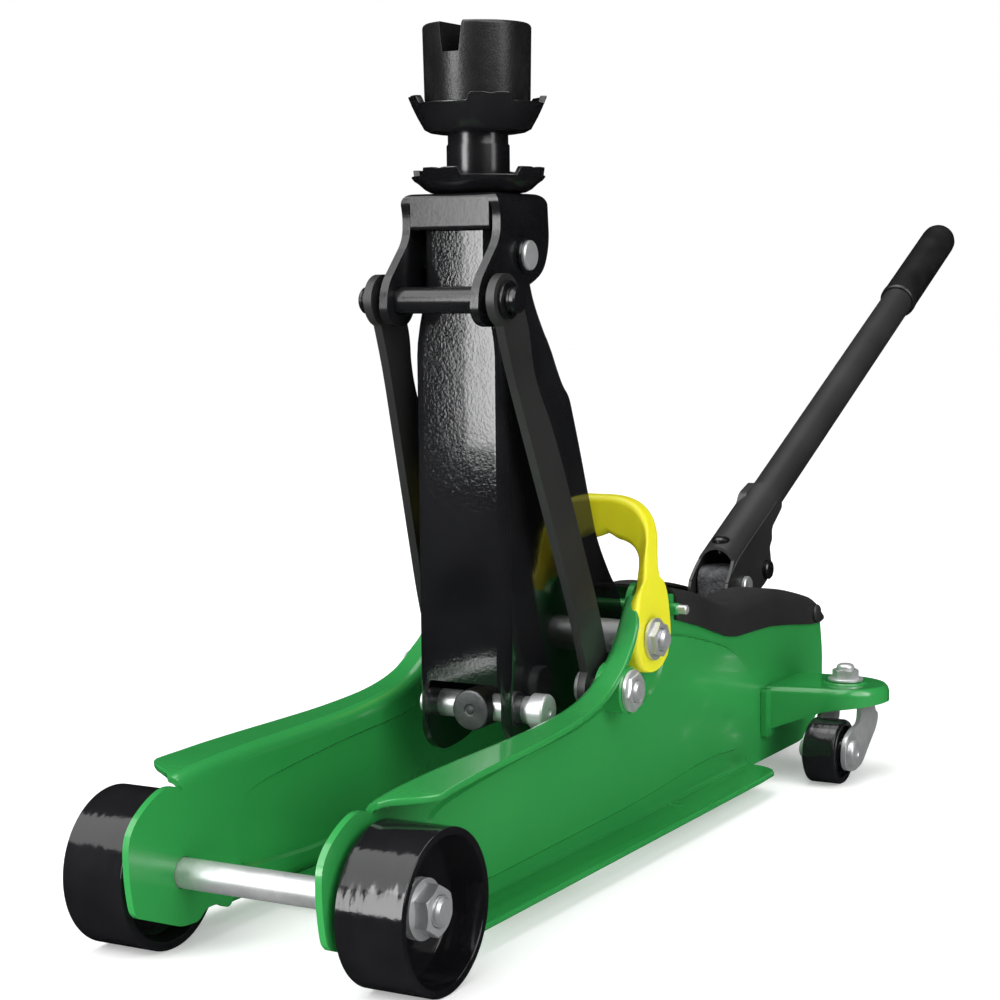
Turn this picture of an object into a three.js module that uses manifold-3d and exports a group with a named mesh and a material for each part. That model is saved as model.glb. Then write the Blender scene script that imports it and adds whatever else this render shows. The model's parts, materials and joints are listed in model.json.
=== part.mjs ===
// Compact hydraulic trolley jack, arm raised, with height adapter and rubber pad.
// Millimetres, +Z up, +Y from the front wheels to the lever, +X to the jack's left-hand viewer side.
// Side views are drawn as (y, z) outlines, plan views as (x, y) and front views as (x, z), all measured
// from the front axle's foot: y = 0 under the front axle and z = 0 on the floor.

import * as THREE from 'three';
import { mergeVertices } from 'three/addons/utils/BufferGeometryUtils.js';
import Module from 'manifold-3d';

const wasm = await Module();
wasm.setup();

// ---------------------------------------------------------------- driving dimensions

const GAP = 0.3;              // clearance between touching pieces
const SHEET = 3;              // steel sheet of the side plates
const PLATE_OUT = 46.7;       // outer face of each side plate, from the centre plane
const PLATE_IN = PLATE_OUT - SHEET;
const PANEL_DEPTH = 1.5;      // height of the pressed panel in each side plate
const EYE_RADIUS = 31.6;      // flat eye that the panel leaves round the main pivot

const WHEEL_RADIUS = 32.5;
const WHEEL_IN = 50.2;        // inner face of a front wheel
const WHEEL_OUT = 79.2;       // outer face of a front wheel
const AXLE_RADIUS = 6.3;

const MAIN_PIVOT = [234.5, 100.3];   // (y, z) of the lift arm's pivot
const ARM_STEP = [-66.5, -25];       // from the main pivot to the ram pin
const ARM_REACH = [-67.5, 180.2];    // from the main pivot to the arm's top pin, arm raised
const LINK_STEP = [-31, -19.3];      // from an arm pivot to the matching link pivot
const RAM_PIN = add(MAIN_PIVOT, ARM_STEP);
const TOP_PIN = add(MAIN_PIVOT, ARM_REACH);
const LINK_LOW = add(MAIN_PIVOT, LINK_STEP);
const LINK_TOP = add(TOP_PIN, LINK_STEP);

const ARM_HALF = 23.5;        // half width of the lift arm
const ARM_SHEET = 3.5;
const ARM_FRONT = 150;        // front face of the arm's web when raised
const RAM_RADIUS = 9.5;
const RAM_PIN_RADIUS = 6.25;
const BORE_RADIUS = 14;       // cylinder bore, wide enough for the rod to swing in

const SPRING_ROD = [272, 109];       // the return spring's anchor, across the frame
const TRUNNION = [465, 80];   // the power unit tilts about this rod
const UNIT_TILT = THREE.MathUtils.degToRad(1.6);  // nose-down tilt of the unit, arm raised

const LEVER_PIVOT = [449, 95];
const ROLLER = [480, 101];
const HANDLE_POINT = [508, 140];     // a point on the handle's axis
const HANDLE_SLOPE = THREE.MathUtils.degToRad(25.5);
const TUBE_RADIUS = 10;
const TUBE_START = -50;       // along the handle's axis, from HANDLE_POINT
const GRIP_START = 258;
const GRIP_END = 361;

const SADDLE_Y = 170.5;       // the saddle's upright axis
const DISH_RADIUS = 30.2;
const DISH_RIM = 315;
const ADAPTER_RIM = 348;
const PAD_TOP = 383;

const CASTOR_AXIS = [81.5, 424];     // (x, y) of the swivel
const CASTOR_TRAIL = 25;
const CASTOR_RADIUS = 17.2;
const CASTOR_TOP = 50;

// ---------------------------------------------------------------- materials

const finish = (colour, roughness, metalness) =>
  new THREE.MeshStandardMaterial({ color: colour, roughness, metalness });
const GREEN = finish(0x2f9a4e, 0.3, 0.1);
const BLACK = finish(0x15161a, 0.25, 0.1);
const SATIN = finish(0x222225, 0.5, 0.1);
const ZINC = finish(0xc4c8cb, 0.35, 0.9);
const YELLOW = finish(0xd2cb1e, 0.45, 0);
const RUBBER = finish(0x1b1b1d, 0.8, 0);
const WHEEL = finish(0x0e0e10, 0.2, 0);
const CAST = finish(0x303236, 0.7, 0.5);

// ---------------------------------------------------------------- helpers

function add(a, b) {
  return a.map((value, i) => value + b[i]);
}

// A closed outline. Each point is [u, v] or [u, v, setback], and a setback rounds the corner.
function outline(points) {
  const shape = new THREE.Shape();
  const count = points.length;
  const towards = (from, to, distance) => {
    const length = Math.hypot(to[0] - from[0], to[1] - from[1]);
    const t = Math.min(distance / length, 0.5);
    return [from[0] + (to[0] - from[0]) * t, from[1] + (to[1] - from[1]) * t];
  };
  points.forEach((point, i) => {
    const setback = point[2] || 0;
    const before = towards(point, points[(i + count - 1) % count], setback);
    if (i === 0) shape.moveTo(...before);
    else shape.lineTo(...before);
    if (setback > 0) {
      const after = towards(point, points[(i + 1) % count], setback);
      shape.quadraticCurveTo(point[0], point[1], ...after);
    }
  });
  return shape;
}

function disc(centre, radius) {
  return new THREE.Shape().absarc(centre[0], centre[1], radius, 0, 2 * Math.PI);
}

function hexagon(centre, corner) {
  const points = [];
  for (let i = 0; i < 6; i += 1) {
    const angle = (i * Math.PI) / 3;
    points.push([centre[0] + corner * Math.cos(angle), centre[1] + corner * Math.sin(angle)]);
  }
  return outline(points);
}

// Axes that an extrusion's u, v and depth directions are laid along.
const LAY = {
  x: [[0, 1, 0], [0, 0, 1], [1, 0, 0]],
  y: [[0, 0, 1], [1, 0, 0], [0, 1, 0]],
  z: [[1, 0, 0], [0, 1, 0], [0, 0, 1]],
};

function solidOf(geometry) {
  geometry.deleteAttribute('normal');
  geometry.deleteAttribute('uv');
  const merged = mergeVertices(geometry, 1e-4);
  return new wasm.Manifold(new wasm.Mesh({
    numProp: 3,
    vertProperties: merged.attributes.position.array,
    triVerts: merged.index.array,
  }));
}

// The outline swept along one axis. Along x it is a (y, z) outline, along y a (z, x) one,
// and along z an (x, y) one.
function sweep(axis, shape, from, to, curveSegments = 2) {
  const low = Math.min(from, to);
  const depth = Math.abs(to - from);
  const geometry = new THREE.ExtrudeGeometry(shape, { depth, bevelEnabled: false, curveSegments });
  geometry.translate(0, 0, low);
  const basis = LAY[axis].map((v) => new THREE.Vector3(...v));
  geometry.applyMatrix4(new THREE.Matrix4().makeBasis(...basis));
  return solidOf(geometry);
}

// A round bar. The centre is given in the same two coordinates as sweep's outlines.
function bar(axis, centre, radius, from, to, around = 12) {
  return sweep(axis, disc(centre, radius), from, to, around / 2);
}

// A turned piece: a closed [radius, height] profile, its axis laid along x, y or z.
function turned(axis, profile, centre = [0, 0], around = 16) {
  const points = profile.map(([radius, height]) => new THREE.Vector2(radius, height));
  if (profile[0][0] > 0) points.push(points[0].clone());
  const geometry = new THREE.LatheGeometry(points, around);
  const basis = LAY[axis].map((v) => new THREE.Vector3(...v));
  geometry.applyMatrix4(new THREE.Matrix4().makeBasis(basis[1], basis[2], basis[0]));
  const place = new THREE.Vector3()
    .addScaledVector(basis[0], centre[0])
    .addScaledVector(basis[1], centre[1]);
  geometry.translate(place.x, place.y, place.z);
  const solid = solidOf(geometry);
  return solid.volume() < 0 ? flipped(geometry) : solid;
}

function flipped(geometry) {
  const index = geometry.index.array;
  for (let i = 0; i < index.length; i += 3) {
    [index[i + 1], index[i + 2]] = [index[i + 2], index[i + 1]];
  }
  return solidOf(geometry);
}

const join = (first, ...rest) => rest.reduce((sum, solid) => sum.add(solid), first);
const cut = (first, ...rest) => rest.reduce((left, solid) => left.subtract(solid), first);
const mirrored = (side, solid) => (side > 0 ? solid : solid.mirror([1, 0, 0]));

const jack = new THREE.Group();

function piece(name, material, solid, position = [0, 0, 0], tilt = 0) {
  const found = solid.getMesh();
  const geometry = new THREE.BufferGeometry();
  geometry.setAttribute('position', new THREE.BufferAttribute(found.vertProperties, 3));
  geometry.setIndex(new THREE.BufferAttribute(found.triVerts, 1));
  const mesh = new THREE.Mesh(geometry, material);
  mesh.name = name;
  mesh.position.set(...position);
  mesh.rotation.x = tilt;
  jack.add(mesh);
}

const SIDES = [['left', -1], ['right', 1]];

// ---------------------------------------------------------------- frame

const FLANGE_TOP = [[2, 76], [190, 77, 45], [218, 117, 6], [229, 122]];
const COVER_TOP = [[279, 118.4], [316, 109.4, 10], [348, 99, 14], [392, 103, 16], [465, 87.5]];

function sidePlateOutline() {
  const lowered = COVER_TOP.map(([y, z, setback]) => [y, z - 3.4, setback]);
  return outline([
    [-31, 22, 3], [-34.5, 25, 3], [-36.5, 55, 12], [-24, 70, 8],
    ...FLANGE_TOP, [240, 127, 8], [262, 118.5, 6], ...lowered,
    [475, 81, 3], [480, 57, 4], [480, 26, 14], [452, 10, 10], [36, 10], [22, 14, 3],
    [14, 14, 3], [9.5, 10, 3], [-2, 10.5, 3],
  ]);
}

function topFlange() {
  const under = FLANGE_TOP.map(([y, z, setback]) => [y + 1, z - SHEET, setback]).reverse();
  const side = sweep('x', outline([...FLANGE_TOP, ...under]), PLATE_IN, 70, 4);
  const plan = outline([
    [PLATE_IN, 0], [50, 0], [67, 15, 6], [64.8, 100], [62.5, 148, 8], [54, 200], [53, 226, 3], [PLATE_IN, 227],
  ]);
  return side.intersect(sweep('z', plan, 60, 130));
}

function bottomFlange() {
  const plan = outline([[PLATE_IN, 36], [65, 36], [68, 40, 3], [68, 355, 12], [PLATE_IN, 360]]);
  return sweep('z', plan, 10, 10 + SHEET);
}

// The pressed panel follows the plate's outline and leaves a flat eye round the main pivot.
function panel(from, to) {
  const edge = outline([
    [37, 23, 9], [90, 19.3], [236, 21], [321, 26], [353, 23], [368, 27, 10], [378, 50, 20], [370, 64, 14],
    [345, 78.5, 14], [298, 91.5], [268, 97, 8], [240, 97], [226, 84, 10], [203, 74.5], [170, 68.4],
    [121, 66.4], [74, 62.5], [52, 60, 6], [35.5, 40, 12],
  ]);
  return cut(sweep('x', edge, from, to), bar('x', MAIN_PIVOT, EYE_RADIUS, from - 1, to + 1, 24));
}

for (const [name, side] of SIDES) {
  const plate = join(
    sweep('x', sidePlateOutline(), PLATE_IN, PLATE_OUT, 4),
    topFlange(),
    bottomFlange(),
    panel(PLATE_OUT - 1, PLATE_OUT + PANEL_DEPTH),
    bar('x', LINK_LOW, 12, PLATE_OUT - 1, PLATE_OUT + 10),
  );
  const openings = [
    panel(PLATE_IN - 1, PLATE_IN + PANEL_DEPTH),
    bar('x', [0, WHEEL_RADIUS], AXLE_RADIUS + GAP, PLATE_IN - 1, PLATE_OUT + 1),
    bar('x', MAIN_PIVOT, 5.3, PLATE_IN - 1, PLATE_OUT + 1),
    bar('x', LINK_LOW, 5.3, PLATE_IN - 1, PLATE_OUT + 11),
    bar('x', TRUNNION, 4.3, PLATE_IN - 1, PLATE_OUT + 1),
    bar('x', SPRING_ROD, 3.3, PLATE_IN - 1, PLATE_OUT + 1),
  ];
  piece(`side_plate_${name}`, GREEN, mirrored(side, cut(plate, ...openings)));
}

function crossPlate(from, to) {
  const half = PLATE_IN - GAP;
  return sweep('z', outline([[-half, from], [half, from], [half, to], [-half, to]]), 10, 10 + SHEET);
}

piece('front_floor_plate', GREEN, crossPlate(70, 150));
piece('rear_floor_plate', GREEN, crossPlate(318, 440));

// ---------------------------------------------------------------- front axle and wheels

const AXLE_END = 77.3;
const THREAD_RADIUS = 5.9;
piece('front_axle', ZINC, turned('x', [
  [0, -AXLE_END], [THREAD_RADIUS - 1, -AXLE_END], [THREAD_RADIUS, -AXLE_END + 1], [THREAD_RADIUS, -66],
  [AXLE_RADIUS, -66], [AXLE_RADIUS, 66], [THREAD_RADIUS, 66], [THREAD_RADIUS, AXLE_END - 1],
  [THREAD_RADIUS - 1, AXLE_END], [0, AXLE_END],
], [0, WHEEL_RADIUS], 12));

function frontWheel() {
  const bore = AXLE_RADIUS + GAP;
  const rim = 27.8;
  return turned('x', [
    [bore, WHEEL_IN], [14, WHEEL_IN], [15, 57], [27, 57], [rim, WHEEL_IN],
    [WHEEL_RADIUS - 1.2, WHEEL_IN], [WHEEL_RADIUS, WHEEL_IN + 1.2], [WHEEL_RADIUS, WHEEL_OUT - 1.2],
    [WHEEL_RADIUS - 1.2, WHEEL_OUT], [rim, WHEEL_OUT], [rim - 1, 64], [16, 64], [15, 66], [bore, 66],
  ], [0, WHEEL_RADIUS], 24);
}

function nut(centre, corner, bore, from, to) {
  return cut(
    sweep('x', hexagon(centre, corner), from, to),
    bar('x', centre, bore, from - 1, to + 1),
  );
}

function ring(axis, centre, outer, inner, from, to) {
  return cut(bar(axis, centre, outer, from, to), bar(axis, centre, inner, from - 1, to + 1));
}

for (const [name, side] of SIDES) {
  const centre = [0, WHEEL_RADIUS];
  piece(`front_wheel_${name}`, WHEEL, mirrored(side, frontWheel()));
  piece(`axle_washer_${name}`, ZINC, mirrored(side, ring('x', centre, 12, 6.2, 66.3, 68.3)));
  piece(`axle_nut_${name}`, ZINC, mirrored(side, nut(centre, 10.4, 6.2, 68.6, 75.4)));
}

// ---------------------------------------------------------------- pivots through the side plates

const LEG_IN = PLATE_OUT + GAP;
const LEG_OUT = LEG_IN + 6.3;
const PIVOT_END = 60.5;
piece('main_pivot_shaft', ZINC, turned('x', [
  [0, -PIVOT_END], [5, -PIVOT_END], [5, -PLATE_IN + GAP], [8, -PLATE_IN + GAP],
  [8, PLATE_IN - GAP], [5, PLATE_IN - GAP], [5, PIVOT_END], [0, PIVOT_END],
], MAIN_PIVOT, 12));

for (const [name, side] of SIDES) {
  const bossEnd = PLATE_OUT + 10;
  piece(`pivot_nut_${name}`, ZINC, mirrored(side, nut(MAIN_PIVOT, 9.3, 5.3, LEG_OUT + GAP, LEG_OUT + 5.3)));
  piece(`link_bolt_${name}`, ZINC, mirrored(side, turned('x', [
    [0, 33], [8, 33], [8, 37.6], [5, 37.6], [5, 62.7], [0, 62.7],
  ], LINK_LOW, 12)));
  piece(`link_nut_${name}`, ZINC, mirrored(side, nut(LINK_LOW, 9.3, 5.3, bossEnd + GAP, bossEnd + 5.1)));
}

piece('spring_anchor_rod', GREEN, bar('x', SPRING_ROD, 3, -54, 54));
piece('trunnion_rod', BLACK, turned('x', [
  [0, -54], [4, -54], [7, -51.5], [7, -49.2], [4, -49.2], [4, 49.2], [7, 49.2], [7, 51.5], [4, 54], [0, 54],
], TRUNNION, 12));

// ---------------------------------------------------------------- carry handle and rear cover

function carryHandle() {
  const front = outline([
    [80, LEG_OUT], [168, LEG_OUT, 25], [168, -LEG_OUT, 25], [80, -LEG_OUT],
    [80, -LEG_IN], [150, -LEG_IN, 17], [150, LEG_IN, 17], [80, LEG_IN],
  ]);
  const side = outline([
    [218, 84.5, 13], [250.5, 84.5, 13], [250.5, 113, 6], [247, 122, 5], [255, 169], [243, 169],
    [241, 147, 6], [234, 124, 6], [226, 112, 4], [218, 106, 4],
  ]);
  return cut(
    sweep('y', front, 210, 260).intersect(sweep('x', side, -60, 60)),
    bar('x', MAIN_PIVOT, 5.3, -60, 60),
  );
}
piece('carry_handle', YELLOW, carryHandle());

function rearCover() {
  const sheet = 1.5;
  const inner = PLATE_OUT + GAP;
  const outer = inner + sheet;
  const bottom = [[463, 75, 3], [429, 79], [395, 83, 6], [345, 83, 10], [316, 91], [279, 103]];
  const whole = sweep('x', outline([...COVER_TOP, ...bottom]), -outer, outer, 4);
  const room = COVER_TOP.map(([y, z, setback]) => [y, z - sheet, setback]);
  room[0][0] -= 5;
  room[room.length - 1][0] += 5;
  const under = sweep('x', outline([...room, [470, 60], [274, 60]]), -inner, inner, 4);
  const window = sweep('z', outline([[-25, 334, 6], [25, 334, 6], [25, 500], [-25, 500]]), 60, 130);
  const trunnion = bar('x', TRUNNION, 4.3, -60, 60);
  return cut(whole, under, window, trunnion);
}
piece('rear_cover', SATIN, rearCover());

// ---------------------------------------------------------------- castors

function castorBracket() {
  const [x, y] = CASTOR_AXIS;
  const plan = (inset) => {
    const shape = new THREE.Shape();
    const reach = 26 - inset;
    shape.moveTo(PLATE_OUT + GAP - inset, 394 + inset);
    shape.lineTo(x - 6, y - reach);
    shape.absarc(x, y, reach, -Math.PI / 2, Math.PI / 2);
    shape.lineTo(x - 6, y + reach);
    shape.lineTo(PLATE_OUT + GAP - inset, 446 - inset);
    return shape;
  };
  const skirt = outline([[CASTOR_TOP, 40], [CASTOR_TOP, 112], [42, 112], [38, 80], [35.2, 72], [25, 45]]);
  const shell = cut(
    sweep('z', plan(0), 20, CASTOR_TOP, 9).intersect(sweep('y', skirt, 370, 480)),
    sweep('z', plan(SHEET), 10, CASTOR_TOP - SHEET, 9),
  );
  const weld = outline([[388, 23, 2], [402, 23], [402, CASTOR_TOP], [388, CASTOR_TOP, 2]]);
  const flange = sweep('x', weld, PLATE_OUT + GAP, PLATE_OUT + GAP + SHEET);
  return cut(join(shell, flange), bar('z', CASTOR_AXIS, 5.1, 40, 60));
}

function castorFork() {
  const [x, y] = CASTOR_AXIS;
  const wheelY = y - CASTOR_TRAIL;
  const crownTop = CASTOR_TOP - SHEET - GAP;
  const crown = sweep('z', outline([
    [x - 12.3, y - 14, 3], [x + 12.3, y - 14, 3], [x + 14, y, 8], [x + 8, y + 14, 7], [x - 8, y + 14, 7], [x - 14, y, 8],
  ]), crownTop - 2.5, crownTop);
  const leg = outline([
    [y - 4, crownTop], [y - 14, crownTop, 3], [wheelY, 27, 6], [wheelY - 7.5, CASTOR_RADIUS + 5, 4],
    [wheelY - 7.5, CASTOR_RADIUS - 7, 5], [wheelY + 6, CASTOR_RADIUS - 7, 5], [y - 8, 34, 8],
  ]);
  const cheek = (side) => sweep('x', leg, x + side * 9.8, x + side * 12.3);
  return cut(
    join(crown, cheek(1), cheek(-1)),
    bar('z', CASTOR_AXIS, 5.1, 30, 60),
    bar('x', [wheelY, CASTOR_RADIUS], 3.5, x - 20, x + 20),
  );
}

for (const [name, side] of SIDES) {
  const [x, y] = CASTOR_AXIS;
  const axle = [y - CASTOR_TRAIL, CASTOR_RADIUS];
  const r = CASTOR_RADIUS;
  piece(`castor_bracket_${name}`, GREEN, mirrored(side, castorBracket()));
  piece(`castor_fork_${name}`, ZINC, mirrored(side, castorFork()));
  piece(`castor_wheel_${name}`, WHEEL, mirrored(side, turned('x', [
    [3.5, x - 9], [r - 1.5, x - 9], [r, x - 7.5], [r, x + 7.5], [r - 1.5, x + 9], [r - 4, x + 9],
    [r - 5, x + 6], [7, x + 6], [6.5, x + 9], [3.5, x + 9],
  ], axle, 16)));
  piece(`castor_axle_${name}`, ZINC, mirrored(side, turned('x', [
    [0, x - 15.5], [5, x - 14.8], [5, x - 12.6], [3.2, x - 12.6], [3.2, x + 12.6], [6.5, x + 12.6],
    [6.5, x + 15], [4, x + 16.2], [0, x + 16.2],
  ], axle, 16)));
  piece(`kingpin_${name}`, ZINC, mirrored(side, turned('z', [
    [0, 40.6], [7, 41.5], [7, 43.9], [4.8, 43.9], [4.8, 60], [3.5, 61.5], [0, 62],
  ], CASTOR_AXIS, 16)));
  piece(`kingpin_nut_${name}`, ZINC, mirrored(side, cut(
    join(bar('z', CASTOR_AXIS, 10.5, CASTOR_TOP + GAP, 52), sweep('z', hexagon(CASTOR_AXIS, 9.2), 51.5, 59)),
    bar('z', CASTOR_AXIS, 5.1, 49, 60),
  )));
}

// ---------------------------------------------------------------- hydraulic power unit
// Drawn along its own axis from the trunnion, -y to the front, then tilted about the trunnion.

const TRUNNION_AT = [0, ...TRUNNION];
const BLOCK_FRONT = -85;
const TUBE_FRONT = -168;
const MOUTH = -190;
const PLUNGER_Y = 12;

function turnedAlongUnit(profile) {
  return turned('y', profile, [0, 0], 16);
}

// A (y, z) place given in the unit's own tilted axes.
function inUnit(place) {
  const away = new THREE.Vector2(place[0] - TRUNNION[0], place[1] - TRUNNION[1]);
  return away.rotateAround(new THREE.Vector2(), -UNIT_TILT).toArray();
}

function pumpBlock() {
  const body = sweep('x', outline([
    [BLOCK_FRONT, -24, 3], [22, -24, 3], [22, 6, 3], [-8, 6, 2], [-12, -4], [BLOCK_FRONT, -4, 3],
  ]), -22, 22);
  const lug = sweep('x', outline([
    [-34, -6], [-34, 28, 9], [-8, 28, 8], [-2, 4], [-2, -6],
  ]), -9, 9);
  const boss = bar('z', [0, PLUNGER_Y], 9.4, 0, 9);
  return cut(
    join(body, lug, boss),
    bar('x', [0, 0], 4.3, -30, 30),
    bar('x', inUnit(LEVER_PIVOT), 4.3, -30, 30),
    bar('z', [0, PLUNGER_Y], 6.3, -18, 20),
    bar('y', [-14, -13], 4.3, 8, 30),
  );
}

piece('pump_block', CAST, pumpBlock(), TRUNNION_AT, UNIT_TILT);
piece('reservoir_tube', SATIN, turnedAlongUnit([
  [BORE_RADIUS, TUBE_FRONT], [21, TUBE_FRONT], [21, BLOCK_FRONT - GAP], [BORE_RADIUS, BLOCK_FRONT - GAP],
]), TRUNNION_AT, UNIT_TILT);
piece('gland_nut', BLACK, turnedAlongUnit([
  [BORE_RADIUS, MOUTH], [18, MOUTH], [19, MOUTH + 1], [19, TUBE_FRONT - GAP], [BORE_RADIUS, TUBE_FRONT - GAP],
]), TRUNNION_AT, UNIT_TILT);
piece('pump_plunger', ZINC, turned('z', [
  [0, -17], [6, -17], [6, 14.4], [0, 14.4],
], [0, PLUNGER_Y], 12), TRUNNION_AT, UNIT_TILT);
piece('release_valve', ZINC, cut(
  turned('y', [[0, 9], [4, 9], [4, 24], [5.5, 24], [5.5, 33], [0, 33]], [-14, -13], 12),
  sweep('z', outline([[-14.2, 29], [-11.8, 29], [-11.8, 34], [-14.2, 34]]), -25, 0),
), TRUNNION_AT, UNIT_TILT);
piece('lever_pivot_pin', ZINC, turned('x', [
  [0, -14.5], [6, -14.5], [6, -12.3], [4, -12.3], [4, 12.3], [6, 12.3], [6, 14.5], [0, 14.5],
], LEVER_PIVOT, 12));

// The rod keeps the unit's tilt, so it is drawn the same way from the ram pin.
piece('ram_rod', ZINC, cut(
  turnedAlongUnit([
    [0, -11], [RAM_RADIUS - 1, -11], [RAM_RADIUS, -10], [RAM_RADIUS, 132], [0, 132],
  ]),
  bar('x', [0, 0], RAM_PIN_RADIUS + GAP, -20, 20),
), [0, ...RAM_PIN], UNIT_TILT);

// ---------------------------------------------------------------- lift arm

// The arm's side as (y, z), offset back from its front face by the given amount.
function armSide(back) {
  return outline([
    [ARM_FRONT + back, 86], [ARM_FRONT + back, 292, 3], [ARM_FRONT + back + 22, 294, 8], [183, 275, 3],
    [186.7, 250, 8], [205, 221, 8], [212, 216, 3], [222, 192, 6], [233, 163, 10], [240, 145, 10],
    [256, 124, 8], [264.7, 116, 4], [268, 98, 12], [252, 78, 10], [216, 72, 12], [196, 57, 5],
    [162, 53, 8], [152, 68, 8],
  ]);
}

function armFront(inset) {
  const wide = ARM_HALF - inset;
  const narrow = 18 - inset;
  const top = 300;
  return outline([
    [40, wide], [243, wide, 9], [270, narrow, 8], [top, narrow], [top, -narrow], [270, -narrow, 8],
    [243, -wide, 9], [40, -wide],
  ]);
}

function liftArm() {
  const outer = sweep('x', armSide(0), -30, 30).intersect(sweep('y', armFront(0), 130, 290));
  const inner = sweep('x', outline([
    [ARM_FRONT + ARM_SHEET, 30], [ARM_FRONT + ARM_SHEET, 310], [300, 310], [300, 30],
  ]), -30, 30).intersect(sweep('y', armFront(ARM_SHEET), 130, 310));
  const belowWeb = sweep('x', outline([
    [140, 40], [140, 88.9], [160, 88.9], [160, 40],
  ]), -20, 20);
  return cut(
    outer,
    inner,
    belowWeb,
    bar('x', MAIN_PIVOT, 8.3, -40, 40),
    bar('x', TOP_PIN, 6.8, -40, 40),
    bar('x', RAM_PIN, RAM_PIN_RADIUS + GAP, -40, 40),
  );
}

piece('lift_arm', BLACK, liftArm());
piece('ram_pin', ZINC, turned('x', [
  [0, -30], [RAM_PIN_RADIUS, -30], [RAM_PIN_RADIUS, 27.5], [8, 27.5], [8, 35], [0, 35],
], RAM_PIN, 12));
piece('ram_pin_clip', ZINC, ring('x', RAM_PIN, 9.5, RAM_PIN_RADIUS + GAP, -26, -24.4));

function levellingLink() {
  const length = Math.hypot(...ARM_REACH);
  const [uy, uz] = ARM_REACH.map((value) => value / length);
  const at = ([along, front, setback]) => [
    LINK_LOW[0] + along * uy - front * uz,
    LINK_LOW[1] + along * uz + front * uy,
    setback,
  ];
  const strip = outline([
    [0, 7], [0, -14], [130, -15, 20], [176, -8, 8], [length, -8], [length, 7],
  ].map(at));
  const side = join(
    sweep('x', strip, 20, 50),
    bar('x', LINK_LOW, 14, 20, 50),
    bar('x', LINK_TOP, 13, 20, 50),
  );
  const front = outline([
    [60, 38], [118, 38], [235, 29], [290, 29], [290, 33], [235, 33], [118, 42], [60, 42],
  ]);
  return cut(
    side.intersect(sweep('y', front, 100, 260)),
    bar('x', LINK_LOW, 5.3, 30, 50),
    bar('x', LINK_TOP, 6.2, 20, 50),
  );
}

for (const [name, side] of SIDES) {
  piece(`levelling_link_${name}`, SATIN, mirrored(side, levellingLink()));
  piece(`link_pin_clip_${name}`, ZINC, mirrored(side, ring('x', LINK_TOP, 8.5, 6.2, 33 + GAP, 35)));
}

// ---------------------------------------------------------------- saddle bracket and saddle

const BRACKET_IN = 21;
const BRACKET_OUT = 25;
const BRACKET_TOP = 308;

function saddleBracket() {
  const side = outline([
    [143, 308, 5], [145.5, 298, 2], [145.2, 288, 4], [126, 268, 4], [124, 252, 8], [142, 248, 8],
    [152, 262, 8], [176, 268.7, 4], [186, 274, 4], [190.8, 286, 4], [189, 308, 4],
  ]);
  const cheeks = cut(
    sweep('x', side, -BRACKET_OUT, BRACKET_OUT),
    sweep('z', outline([[-BRACKET_IN, 100], [BRACKET_IN, 100], [BRACKET_IN, 200], [-BRACKET_IN, 200]]), 230, 304),
  );
  const lip = sweep('x', outline([[144, 292, 2], [147.5, 292], [147.5, 306], [144, 306]]), -20, 20);
  return cut(
    join(cheeks, lip),
    bar('x', TOP_PIN, 6.8, -40, 40),
    bar('x', LINK_TOP, 6.2, -40, 40),
    bar('z', [0, SADDLE_Y], 10.3, 300, 310),
  );
}

piece('saddle_bracket', BLACK, saddleBracket());
piece('arm_top_pin', ZINC, turned('x', [
  [0, -29.6], [7.8, -29.6], [7.8, -25.3], [6.5, -25.3], [6.5, 25.3], [7.8, 25.3], [7.8, 29.6], [0, 29.6],
], TOP_PIN, 12));
piece('link_pin', BLACK, turned('x', [[0, -37.6], [5.9, -37.6], [5.9, 37.6], [0, 37.6]], LINK_TOP, 12));

// A pressed dish with four raised tabs. Its underside is at the given height.
function dish(bottom, rim, firstTab) {
  const centre = [0, SADDLE_Y];
  const wall = turned('z', [
    [0, bottom], [20, bottom], [24, bottom + 2], [DISH_RADIUS - 3, rim - 4], [DISH_RADIUS, rim - 3],
    [DISH_RADIUS, rim], [DISH_RADIUS - 3, rim], [22, bottom + 4], [0, bottom + 4],
  ], centre, 24);
  const tabs = [];
  for (let i = 0; i < 4; i += 1) {
    const middle = firstTab + (i * Math.PI) / 2;
    const half = THREE.MathUtils.degToRad(20);
    const sector = new THREE.Shape();
    sector.absarc(centre[0], centre[1], DISH_RADIUS, middle - half, middle + half, false);
    sector.absarc(centre[0], centre[1], DISH_RADIUS - 3, middle + half, middle - half, true);
    tabs.push(sweep('z', sector, rim - 1, rim + 3, 2));
  }
  return join(wall, ...tabs);
}

piece('saddle_dish', BLACK, cut(
  join(dish(BRACKET_TOP + GAP, DISH_RIM, 0.1), bar('z', [0, SADDLE_Y], 10, 296, BRACKET_TOP + 2)),
  bar('z', [0, SADDLE_Y], 8.3, 298, 320),
));
const ADAPTER_SEAT = BRACKET_TOP + 4 + 2 * GAP;
piece('extension_adapter', BLACK, join(
  dish(ADAPTER_RIM - 13, ADAPTER_RIM, 0.95),
  bar('z', [0, SADDLE_Y], 14, ADAPTER_SEAT, ADAPTER_RIM - 12),
  bar('z', [0, SADDLE_Y], 15.5, ADAPTER_RIM - 18, ADAPTER_RIM - 12),
  bar('z', [0, SADDLE_Y], 8, 299, ADAPTER_SEAT + 1),
));

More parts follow.
